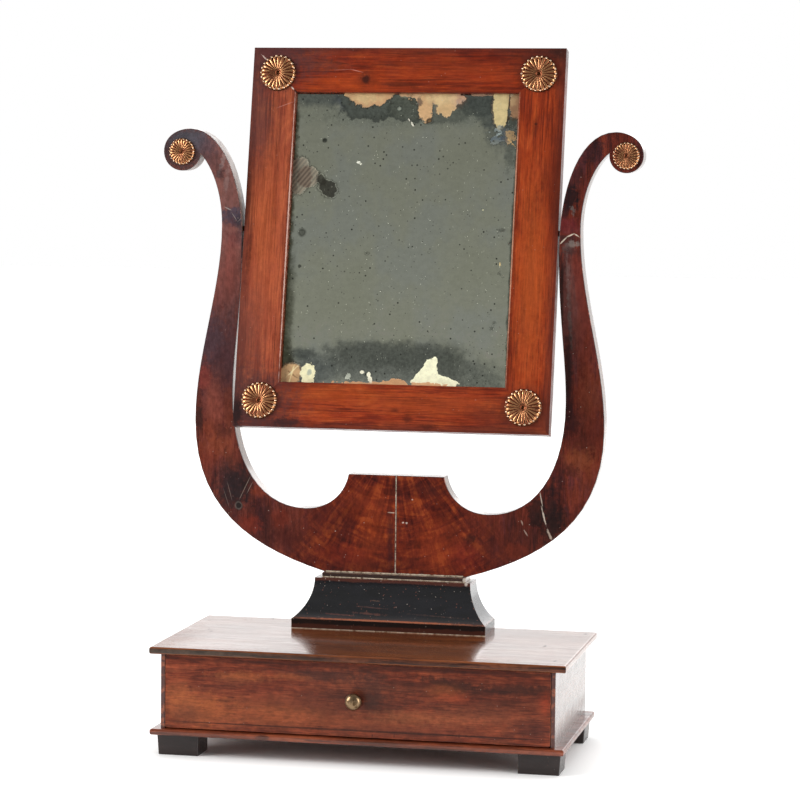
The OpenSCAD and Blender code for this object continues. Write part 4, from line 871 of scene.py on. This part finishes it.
# Where the silver has flaked off, from the top edge to the foot
flaked = [
    # Brown paper along the top edge, each flake with a dark rim
    blot(-41, 149, 26.5, 16, "#4c3420", 0.9, ragged=0.5, soft=0.1),
    blot(-41, 149, 25, 15, "#cfa478", 1.0, ragged=0.5, soft=0.06),
    blot(-46, 145, 16, 6, "#e4c892", 0.7, ragged=1.4, soft=0.6),
    blot(4, 149, 14, 4.5, "#cfa67e", 1.0, ragged=0.7, soft=0.1),
    blot(32, 150, 32, 16, "#4c3420", 0.8, ragged=0.6, soft=0.1),
    blot(32, 151, 31, 15.5, "#dab287", 1.0, ragged=0.6, soft=0.06),
    blot(20.5, 133, 9, 16.5, "#4c3420", 0.8, ragged=0.6, soft=0.1),
    blot(20.5, 134, 8.2, 16, "#dcb282", 1.0, ragged=0.6, soft=0.06),
    blot(41, 137, 12, 13, "#dcb886", 1.0, ragged=0.7, soft=0.1),
    blot(55, 143, 9, 8, "#cda084", 0.8, ragged=1.0, soft=0.5),
    blot(38, 143, 16, 7, "#e6cc98", 0.6, ragged=1.5, soft=0.7),
    blot(30, 133, 3, 6, "#4e5650", 0.85, ragged=2.0, soft=0.2),
    blot(14, 138, 4, 4, "#6e5a4c", 0.8, ragged=2.2, soft=0.3),
    nick((65, 147.5), (97, 147.5), 2.4, "#b48c70", 0.9, ragged=1.2),
    # The long flake at the upper right, and the broken silver under it
    blot(101, 134, 9.6, 25, "#544026", 0.8, ragged=0.6, soft=0.1),
    blot(102, 135, 8.4, 24.5, "#e0cb94", 1.0, ragged=0.6, soft=0.06),
    blot(117.5, 136, 7.5, 15, "#b48c68", 1.0, ragged=0.8, soft=0.1),
    blot(114, 144, 5, 8, "#d2b284", 0.7, ragged=1.4, soft=0.4),
    blot(116, 117, 6, 6, "#3c4238", 0.9, ragged=1.2),
    nick((111, 146), (109.5, 120), 2.0, "#2c1c14", 0.9, ragged=2.6),
    nick((110, 128), (114, 126), 2, "#2c1c14", 0.9, ragged=1.8),
    blot(101, 106, 7, 6, "#8c9a9c", 0.7, ragged=3.0, soft=0.3),
    blot(110, 105, 7, 7, "#30363a", 0.8, ragged=2.8, soft=0.3),
    blot(113, 101, 4.5, 7, "#c2a070", 0.8, ragged=2.8, soft=0.2),
    nick((110, 101), (119, 92), 1.6, "#dcb87e", 0.9, ragged=1.8),
    blot(103, 99, 7, 5, "#46505a", 0.7, ragged=3.0, soft=0.3),
    # Specks below the top edge
    blot(25.4, 118.7, 3.8, 3.2, "#1c1812", 0.9, ragged=0.5),
    blot(25.4, 118.9, 1.7, 1.4, "#7a6040", 0.9, ragged=0.5),
    nick((2.0, 121.6), (4.4, 117.6), 1.4, "#e6e2d0", 0.9, ragged=1.4),
    nick((5.6, 117.8), (8.2, 112.6), 1.9, "#f0ecd8", 0.95, ragged=1.4),
    blot(-8, 132, 2.6, 2.6, "#5a625a", 0.8, ragged=0.8), blot(-8, 132, 1.4, 1.4, "#a8ac9c", 0.7, ragged=0.8),
    # The lower left corner
    blot(-111, -156, 13, 14, "#584430", 0.9, ragged=0.5, soft=0.15),
    blot(-112, -157, 11.5, 12.5, "#bc986e", 1.0, ragged=0.6, soft=0.08),
    nick((-116, -152), (-104, -160), 2, "#7c5c3c", 0.8, ragged=2.4),
    nick((-108, -148), (-112, -164), 1.6, "#e0cc98", 0.8, ragged=2.4),
    nick((-118, -162), (-106, -150), 1.4, "#e4d4a6", 0.7, ragged=2.4),
    blot(-92, -156, 8, 12, "#ece6bc", 1.0, ragged=0.6, soft=0.06),
    blot(-91, -154, 2.2, 2.8, "#a8b0a0", 0.8, ragged=1.2),
    # White ground along the foot
    nick((-66, -164.2), (18, -164.6), 3.6, "#cc9c74", 1.0, ragged=1.8, soft=0.1),
    blot(2, -163, 14, 4.4, "#cf9f74", 1.0, ragged=1.2, soft=0.08),
    blot(-33.4, -152.6, 2.4, 2.0, "#f0ecd2", 1.0, ragged=0.9),
    blot(-26, -155.0, 2.2, 2.8, "#f0ecd2", 1.0, ragged=0.9),
    blot(-24.6, -159.4, 2.4, 3.8, "#f0ecd2", 1.0, ragged=0.9),
    blot(-48, -157, 3, 3, "#b0b4a4", 0.7, ragged=2.4),
    nick((23, -165), (40, -143), 11, "#f4f2cf", 1.0, ragged=0.4, soft=0.05),
    blot(40, -150, 8, 14, "#f4f2cf", 1.0, ragged=0.4, soft=0.05),
    blot(43, -140, 4, 6, "#f4f2cf", 1.0, lean=-25, ragged=0.4, soft=0.05),
    nick((42, -155), (69, -164), 10, "#f4f2cf", 1.0, ragged=0.4, soft=0.05),
    blot(45, -162, 26, 5, "#f4f2cf", 1.0, ragged=0.5, soft=0.05),
    nick((16, -164), (54, -164.2), 5.0, "#d8a87c", 1.0, ragged=1.3, soft=0.1),
    # The black spot at the left, and small spots
    blot(-81, 44.5, 12.5, 9.5, "#1e1c12", 0.97, lean=-38, ragged=0.5, soft=0.2),
    blot(-89.5, 54, 5, 7, "#26241a", 0.95, lean=20, ragged=0.6, soft=0.3),
    blot(-50, 73.4, 1.9, 1.2, "#f0f0e0", 0.9, ragged=1.8),
    blot(-47, 71.4, 1.3, 1.2, "#e0e0cc", 0.9, ragged=1.8),
    blot(88, 23.6, 1.6, 1.8, "#c8c49c", 0.9, ragged=2.4),
    blot(109.3, 2, 3.4, 1.6, "#23261e", 0.9, lean=30, ragged=2.6),
    blot(119, -11, 2.6, 2.4, "#23261e", 0.9, ragged=1.2),
    blot(108.9, -34, 1.2, 2.4, "#c8b078", 0.9, ragged=1.6),
    blot(110.4, -45.5, 3, 1.3, "#23261e", 0.9, lean=-40, ragged=2.0),
    blot(105.6, -96.7, 2.4, 2.2, "#2c3028", 0.9, ragged=1.0),
    blot(103, -102.6, 2.2, 2.2, "#2c3028", 0.9, ragged=1.0),
    blot(-36.4, -26, 3.2, 1.8, "#262a20", 0.9, lean=20, ragged=2.4),
    blot(33.2, -22.9, 2.6, 1.0, "#34382e", 0.8, ragged=2.2),
    nick((22, -51.5), (30.4, -51.3), 1.4, "#34382e", 0.8, ragged=2.0)]


def old_mirror():
    """Thin glass over foxed tin and mercury silvering that has flaked to the paper and wood behind it.

    The silver mirrors the studio as a soft grey-green, and the flakes are dull and pale.
    """
    material, tree, shader = finish("foxed_mirror", IOR=1.5, Coat_Weight=0.5, Coat_Roughness=0.02,
                                    Coat_IOR=1.52, Specular_IOR_Level=0.15)
    place = millimetres(tree, PIVOT, FRAME_TURN)
    broad = cloud(tree, place, (70, 70, 90), 1, 4, 0.6)
    colour = add(tree, "ValToRGB", {0: broad}, stops=[(0.38, "#eef4e2"), (0.5, "#f2f6dc"), (0.62, "#eef2d6")])
    haze = cloud(tree, place, (3, 3, 5), 4, 4, 0.7)
    colour = layer(tree, colour, "#c8ccb4", haze, 0.35, 0.65, 0.12)
    colour, dim = marked(tree, place, colour, dulled, grit=14.0, crisp=0.62)
    for cell, size, sparse, share, seed, tint in ((8.0, 0.12, 0.48, 0.95, 1.7, "#3c3e34"),
                                                  (4.0, 0.13, 0.55, 0.9, 12.0, "#4c4e42")):
        foxing = flecks(tree, place, cell, size, sparse, share, seed)
        colour = add(tree, "Mix", {0: foxing, 6: colour, 7: tint}, **COLOURS)
    # The wood behind the glass shows through in a wedge of pale and dark stripes, 5 mm apart
    apart = add(tree, "SeparateXYZ", {0: place}).node.outputs
    slope = add(tree, "Math", {0: apart[2], 1: -0.8, 2: apart[0]}, operation="MULTIPLY_ADD")
    slope = add(tree, "Math", {0: slope, 1: math.tau / 5.0}, operation="MULTIPLY")
    wave = add(tree, "Math", {0: slope}, operation="SINE")
    striped = layer(tree, "#54443a", "#786858", wave, -0.8, 0.8)
    wedge_marks = [blot(-114, 58, 14, 21, striped, 0.85, ragged=0.3, soft=0.15),
                   blot(-104, 57, 13, 12, striped, 0.85, ragged=0.3, soft=0.15)]
    colour, wedge = marked(tree, place, colour, wedge_marks)
    colour, bare = marked(tree, place, colour, flaked, grit=7.0, crisp=0.6)
    # The silver is a little uneven, broken up where it is dulled, and the bare places vary a little
    mottle = cloud(tree, place, (8, 8, 6), 5, 5, 0.7)
    silver = add(tree, "MapRange", {0: mottle, 1: 0.34, 2: 0.62, 3: 0.95, 4: 1.03}, **SMOOTH)
    broken = cloud(tree, place, (3, 3, 3), 9, 5, 0.75)
    broken = add(tree, "MapRange", {0: broken, 1: 0.36, 2: 0.64, 3: 0.8, 4: 1.35}, **SMOOTH)
    shade = add(tree, "Mix", {0: dim, 2: silver, 3: broken})
    paper = add(tree, "MapRange", {0: mottle, 1: 0.36, 2: 0.6, 3: 0.86, 4: 1.04}, **SMOOTH)
    shade = add(tree, "Mix", {0: bare, 2: shade, 3: paper})
    # The colour is lighter towards the foot and darker towards the top
    rise = add(tree, "MapRange", {0: apart[2], 1: -190.0, 2: 150.0, 3: 1.14, 4: 0.93}, **SMOOTH)
    shade = add(tree, "Math", {0: shade, 1: rise}, operation="MULTIPLY")
    colour = add(tree, "Mix", {0: 1.0, 6: colour, 7: shade}, **TIMES)
    # Dust and upright hairlines catch the light
    hairs = add(tree, "Mapping", {"Vector": place, "Scale": (2.5, 2.5, 0.625)})
    pale = add(tree, "Math", {0: flecks(tree, place, 5.0, 0.08, 0.49, 0.7, 30.0),
                              1: flecks(tree, hairs, 6.0, 0.12, 0.52, 0.4, 40.0)}, operation="MAXIMUM")
    colour = add(tree, "Mix", {0: pale, 6: colour, 7: "#c9c9b6"}, **COLOURS)
    tree.links.new(colour, shader.inputs["Base Color"])
    # The silver ends only well inside a flake's outline, or the outline would shine white
    solid = add(tree, "Math", {0: bare, 1: wedge}, operation="MAXIMUM")
    solid = add(tree, "MapRange", {0: solid, 1: 0.45, 2: 0.82}, **SMOOTH)
    solid = add(tree, "Math", {0: solid, 1: pale}, operation="MAXIMUM")
    tree.links.new(add(tree, "MapRange", {0: solid, 3: 1.0, 4: 0.0}, **SMOOTH), shader.inputs["Metallic"])
    tree.links.new(add(tree, "MapRange", {0: solid, 3: 0.09, 4: 0.6}, **SMOOTH), shader.inputs["Roughness"])
    return material


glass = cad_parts["mirror_glass"]
glass.data.materials.clear()
glass.data.materials.append(old_mirror())

# Brass

def brass(name, bright, dull, share, rough, size):
    """Worn brass: bright where it is rubbed, brown where polish and dirt have stayed."""
    material, tree, shader = finish(name, Metallic=1.0)
    tarnish = cloud(tree, millimetres(tree), (size, size, size), 2, 5, 0.65)
    start = 0.66 - 0.3 * share
    tree.links.new(layer(tree, bright, dull, tarnish, start, start + 0.14), shader.inputs["Base Color"])
    tree.links.new(add(tree, "MapRange", {0: tarnish, 1: 0.35, 2: 0.65, 3: rough[0], 4: rough[1]}, **SMOOTH),
                   shader.inputs["Roughness"])
    return material


# Stamped sheet brass, gilt and lacquered: golden petals, redder grooves, beads in a paler brass that paints
# their highlights, and a dark rim of painted shade
gilt = brass("stamped_gilt_brass", "#e0a472", "#8c5640", 0.55, (0.28, 0.4), 9.0)
bead_highlight_brass = brass("rosette_bead_brass", "#ecceae", "#a87a58", 0.5, (0.2, 0.32), 6.0)
patina = brass("rosette_patina", "#965a3e", "#623626", 0.5, (0.34, 0.46), 6.0)
rim_shade_brass = brass("rosette_rim_brass", "#583422", "#2e1a12", 0.5, (0.42, 0.52), 6.0)
# Turned brass, greenish brown from hands, and the dark iron-stained brass of the rosettes' pins
knob_metal = brass("worn_knob_brass", "#8e765a", "#54402c", 0.5, (0.28, 0.42), 5.0)
pin_metal = brass("pin_brass", "#7a5430", "#3a2214", 0.5, (0.35, 0.5), 1.5)


def rosette_shape(radius, petals=22):
    """A stamped rosette round the Y axis, facing -Y: a dished dome pressed into rounded petals, with a bead
    at each tip and a ring round the pin's hole."""
    rise = radius * 0.27
    # Shares of the radius where the petals start and end, where the gilding ends and the dark rim of painted
    # shade starts
    start, tips, gilded, rim = 0.17, 0.94, 0.92, 0.925
    # Shares of the radius and of the rise, from the hole out over the dome to the rim and back
    profile = [(0.075, 0), (0.075, 0.5), (0.15, 0.62), (0.19, 0.67), (0.24, 0.7), (0.32, 0.73), (0.4, 0.76),
               (0.48, 0.77), (0.56, 0.77), (0.63, 0.76), (0.7, 0.74), (0.76, 0.71), (0.81, 0.67),
               (0.85, 0.61), (0.885, 0.52), (0.91, 0.4), (0.93, 0.26), (0.955, 0.16), (0.985, 0.1),
               (0.985, 0), (0.075, 0)]
    back = turned("rosette_back", [(radius * r, rise * h) for r, h in profile], petals * 8)
    for material in (patina, gilt, bead_highlight_brass, rim_shade_brass):
        back.data.materials.append(material)

    def across(x, z):
        """Place across a petal, 0 on its ridge and 1 in the groove beside it."""
        turns = petals * math.atan2(z, x) / math.tau
        return abs(2 * (turns - math.floor(turns)) - 1)
    # Grooves fade in beside the ring, grow deep towards the tips and stop just above the wood
    for vertex in back.data.vertices:
        out = math.hypot(vertex.co.x, vertex.co.z) / (radius * MM)
        if vertex.co.y < -rise * 0.2 * MM and start < out < tips:
            pitch = math.pi * out * radius * MM / petals
            depth = 0.7 * pitch * min(1, (out - 0.16) / 0.1) * (1 + 5 * max(0, out - 0.82))
            vertex.co.y += depth * (1 - math.sqrt(max(0, 1 - across(vertex.co.x, vertex.co.z) ** 2)))
            vertex.co.y = min(vertex.co.y, -rise * 0.08 * MM)
    for side in back.data.polygons:
        out = math.hypot(side.center.x, side.center.z) / (radius * MM)
        ridge = across(side.center.x, side.center.z) < 0.62
        if ridge and start < out < gilded and side.center.y < -rise * 0.3 * MM:
            side.material_index = 1
        # The rim, where it drops to the wood, takes the dark brass that paints its shade
        if out > rim:
            side.material_index = 3
    bpy.ops.object.shade_smooth_by_angle(angle=math.radians(60))
    bpy.ops.object.select_all(action="DESELECT")
    # Beads in the paler brass that paints their highlights
    bpy.ops.mesh.primitive_uv_sphere_add(segments=12, ring_count=10, radius=radius * 0.06 * MM,
                                         location=(radius * 0.91 * MM, -rise * 0.54 * MM, 0))
    beads = bpy.context.object
    beads.data.materials.clear()
    beads.data.materials.append(bead_highlight_brass)
    bpy.ops.object.transform_apply(location=True, rotation=True, scale=True)
    bpy.ops.object.mode_set(mode="EDIT")
    bpy.ops.mesh.select_all(action="SELECT")
    bpy.ops.mesh.spin(steps=petals, angle=math.tau, center=(0, 0, 0), axis=(0, 1, 0), dupli=True)
    bpy.ops.mesh.select_all(action="SELECT")
    bpy.ops.mesh.remove_doubles(threshold=0.001 * MM)
    bpy.ops.object.mode_set(mode="OBJECT")
    bpy.ops.object.shade_smooth()
    bulge = [(0.085, 0.5), (0.1, 0.64), (0.125, 0.7), (0.15, 0.64), (0.15, 0.44), (0.085, 0.44), (0.085, 0.5)]
    ring = turned("rosette_ring", [(radius * r, rise * h) for r, h in bulge], petals * 2)
    ring.data.materials.append(patina)
    bpy.ops.object.shade_smooth()
    return joined("rosette", [back, beads, ring])


leaning = Matrix.Translation(PIVOT * MM) @ Matrix.Rotation(-LEAN, 4, "X")
rosette = rosette_shape(ROSETTE)
places = {}
for end, z in (("top", FRAME_TOP - ROSETTE_INSET), ("bottom", FRAME_FOOT + ROSETTE_INSET)):
    for side, x in (("left", ROSETTE_INSET - FRAME_SIDE), ("right", FRAME_SIDE - ROSETTE_INSET)):
        spot = Vector((x, FRAME_FACE - VARNISH, z)) * MM
        places["rosette_%s_%s" % (end, side)] = "mirror", leaning @ Matrix.Translation(spot)
for node, x in (("scroll_rosette_left", SCROLL_LEFT), ("scroll_rosette_right", SCROLL_RIGHT)):
    spot = Vector((x, LYRE_FACE - VARNISH, SCROLL_HEIGHT)) * MM
    places[node] = "stand", Matrix.Translation(spot) @ Matrix.Scale(SCROLL_ROSETTE / ROSETTE, 4)
for node, (body, matrix) in places.items():
    piece = rosette.copy()
    piece.data = rosette.data.copy()
    piece.name = node + "_stamped"
    bpy.context.scene.collection.objects.link(piece)
    settle(piece, matrix, body, "gilt_brass", node)
bpy.data.objects.remove(rosette)

# The turned knob, from the end of its shank in the drawer front out to the crown
knob = turned("drawer_knob_turned", [
    (0, -19), (2, -19), (2, 0), (6.3, 0), (6.3, 1.0), (6.0, 1.4), (5.3, 1.8), (4.6, 2.6), (3.8, 3.4),
    (3.5, 4.6), (3.5, 5.6), (4.0, 6.4), (5.2, 7.2), (6.8, 7.8), (8.0, 8.2), (8.6, 8.7), (8.75, 9.4),
    (8.55, 10.4), (8.0, 11.6), (7.1, 12.8), (5.9, 13.8), (4.4, 14.5), (2.6, 14.9), (0, 15)], 64)
knob.data.materials.append(knob_metal)
bpy.ops.object.shade_smooth_by_angle(angle=math.radians(50))
settle(knob, Matrix.Translation((0, FRONT_LOW.y * MM, (FRONT_LOW.z + FRONT_HIGH.z) / 2 * MM)), "drawer",
       "knob_brass", "drawer_knob")

# Hidden pieces

# Planed pine gone brown with age, never polished, and straight-grained beech for the dowels
PINE_TONES = ["#86643f", "#9c7850", "#ae8a60", "#946e48"]
pine = wood("aged_pine", PINE_TONES, band=7, run=160, seed=30.0, pores=0.2, coat=0.0, rough=(0.6, 0.8))
pine_sides = wood("aged_pine_sides", PINE_TONES, along=1, band=7, run=160, seed=36.0, pores=0.2, coat=0.0,
                  rough=(0.6, 0.8))
beech = wood("beech_dowel", ["#b0926a", "#c4a67c"], along=2, band=2, run=40, seed=33.0, pores=0.2, coat=0.0,
             rough=(0.55, 0.75))


def old_iron():
    """Hand-made wrought iron, dark grey and uneven, with a little brown rust."""
    material, tree, shader = finish("old_iron", Metallic=1.0)
    rust = cloud(tree, millimetres(tree), (2, 2, 2), 0, 5, 0.7)
    tree.links.new(add(tree, "ValToRGB", {0: rust}, stops=[(0.4, "#5c5855"), (0.62, "#4c3a30")]),
                   shader.inputs["Base Color"])
    tree.links.new(add(tree, "MapRange", {0: rust, 1: 0.35, 2: 0.65, 3: 0.4, 4: 0.75}, **SMOOTH),
                   shader.inputs["Roughness"])
    return material


hidden = (
    (pine, ("box_back", "mirror_backboard", "drawer_back", "drawer_bottom")),
    (pine_sides, ("drawer_left_side", "drawer_right_side")),
    (beech, ("foot_dowels", "lyre_joint_dowels", "lyre_stand_dowels")),
    (pin_metal, ("scroll_rosette_pins", "frame_rosette_pins")),
    (old_iron(), ("top_brads", "bottom_brads", "plinth_screws", "backboard_sprigs", "pivot_pin_left",
                  "pivot_pin_right", "knob_nut")))
for material, nodes in hidden:
    for node in nodes:
        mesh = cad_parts[node].data
        mesh.materials.clear()
        mesh.materials.append(material)

# Studio

bpy.ops.object.select_all(action="DESELECT")
# White paper, in metres, that ends a little in front of the object and runs far back
FLOOR_WIDTH, FLOOR_LENGTH, FLOOR_MIDDLE = 16.0, 13.8, 6.2
bpy.ops.mesh.primitive_plane_add(size=1, location=(0, FLOOR_MIDDLE, 0))
floor = bpy.context.object
floor.name = "studio_floor"
floor.scale = (FLOOR_WIDTH, FLOOR_LENGTH, 1)
bpy.ops.object.transform_apply(location=True, rotation=True, scale=True)
material, tree, shader = finish("white_studio_floor", Roughness=0.9, Specular_IOR_Level=0.0)
shader.inputs["Base Color"].default_value = tone("#f6f6f5")
rays = add(tree, "LightPath").node.outputs
seen = add(tree, "Math", {0: rays["Is Glossy Ray"], 1: rays["Is Transmission Ray"]}, operation="MAXIMUM")
seen = add(tree, "Math", {0: rays["Is Camera Ray"], 1: seen}, operation="MAXIMUM")
# The paper glows for the camera, but not in the object's own shadow under the box, which fades out over 75 mm
SHADOW_MIDDLE, SHADOW_HALF_WIDTH, SHADOW_HALF_DEPTH = (0, -10, 0), 190.0, 88.0
apart = add(tree, "SeparateXYZ", {0: millimetres(tree, SHADOW_MIDDLE)}).node.outputs
beyond = []
for axis, half in ((0, SHADOW_HALF_WIDTH), (1, SHADOW_HALF_DEPTH)):
    off = add(tree, "Math", {0: apart[axis]}, operation="ABSOLUTE")
    beyond.append(add(tree, "Math", {0: off, 1: half}, operation="SUBTRACT"))
away = add(tree, "Math", {0: beyond[0], 1: beyond[1]}, operation="MAXIMUM")
away = add(tree, "MapRange", {0: away, 1: -15.0, 2: 60.0, 4: 0.45}, **SMOOTH)
glow = add(tree, "Emission", {"Color": "#ffffff",
                              "Strength": add(tree, "Math", {0: seen, 1: away}, operation="MULTIPLY")})
both = add(tree, "AddShader", {0: shader.outputs[0], 1: glow})
tree.links.new(both, tree.nodes["Material Output"].inputs["Surface"])
floor.data.materials.append(material)

world = bpy.data.worlds.new("white_studio")
bpy.context.scene.world = world
world.use_nodes = True
tree = world.node_tree
rays = add(tree, "LightPath").node.outputs
seen = add(tree, "Math", {0: rays["Is Camera Ray"], 1: rays["Is Transmission Ray"]}, operation="MAXIMUM")
facing = add(tree, "SeparateXYZ", {0: add(tree, "TexCoord", out="Generated")}).node.outputs
# The studio is white behind the object, dim behind the camera and dark below the table's edge there
front = add(tree, "MapRange", {0: facing[2], 1: -0.02, 2: 0.16, 3: 0.08, 4: 0.21}, **SMOOTH)
behind = add(tree, "MapRange", {0: facing[1], 1: -0.35, 2: 0.35}, **SMOOTH)
around = add(tree, "Mix", {0: behind, 2: front, 3: 1.0})
level = add(tree, "Mix", {0: seen, 2: around, 3: 1.0})
tree.nodes["Background"].inputs["Color"].default_value = (1, 1, 1, 1)
tree.links.new(level, tree.nodes["Background"].inputs["Strength"])


def softbox(name, at, to, size, power):
    """A soft studio lamp that the camera doesn't see, at a place in metres and turned to another."""
    data = bpy.data.lights.new(name, "AREA")
    data.shape = "RECTANGLE"
    data.size, data.size_y = size
    data.energy = power
    light = bpy.data.objects.new(name, data)
    turn = (Vector(to) - Vector(at)).to_track_quat("-Z", "Y").to_matrix().to_4x4()
    light.matrix_world = Matrix.Translation(at) @ turn
    light.visible_camera = False
    bpy.context.scene.collection.objects.link(light)


# Large softboxes at both sides, and one behind that makes the top board and the paper shine
softbox("left_softbox", (-2.3, -1.35, 1.25), (0, 0, 0.4), (1.1, 1.7), 67)
softbox("right_softbox", (2.4, -1.1, 0.9), (0, 0, 0.4), (0.9, 1.6), 38)
softbox("back_softbox", (0.4, 3.6, 1.95), (0, 0, 0.3), (5.5, 2.2), 60)

bpy.context.scene.view_settings.view_transform = "Standard"
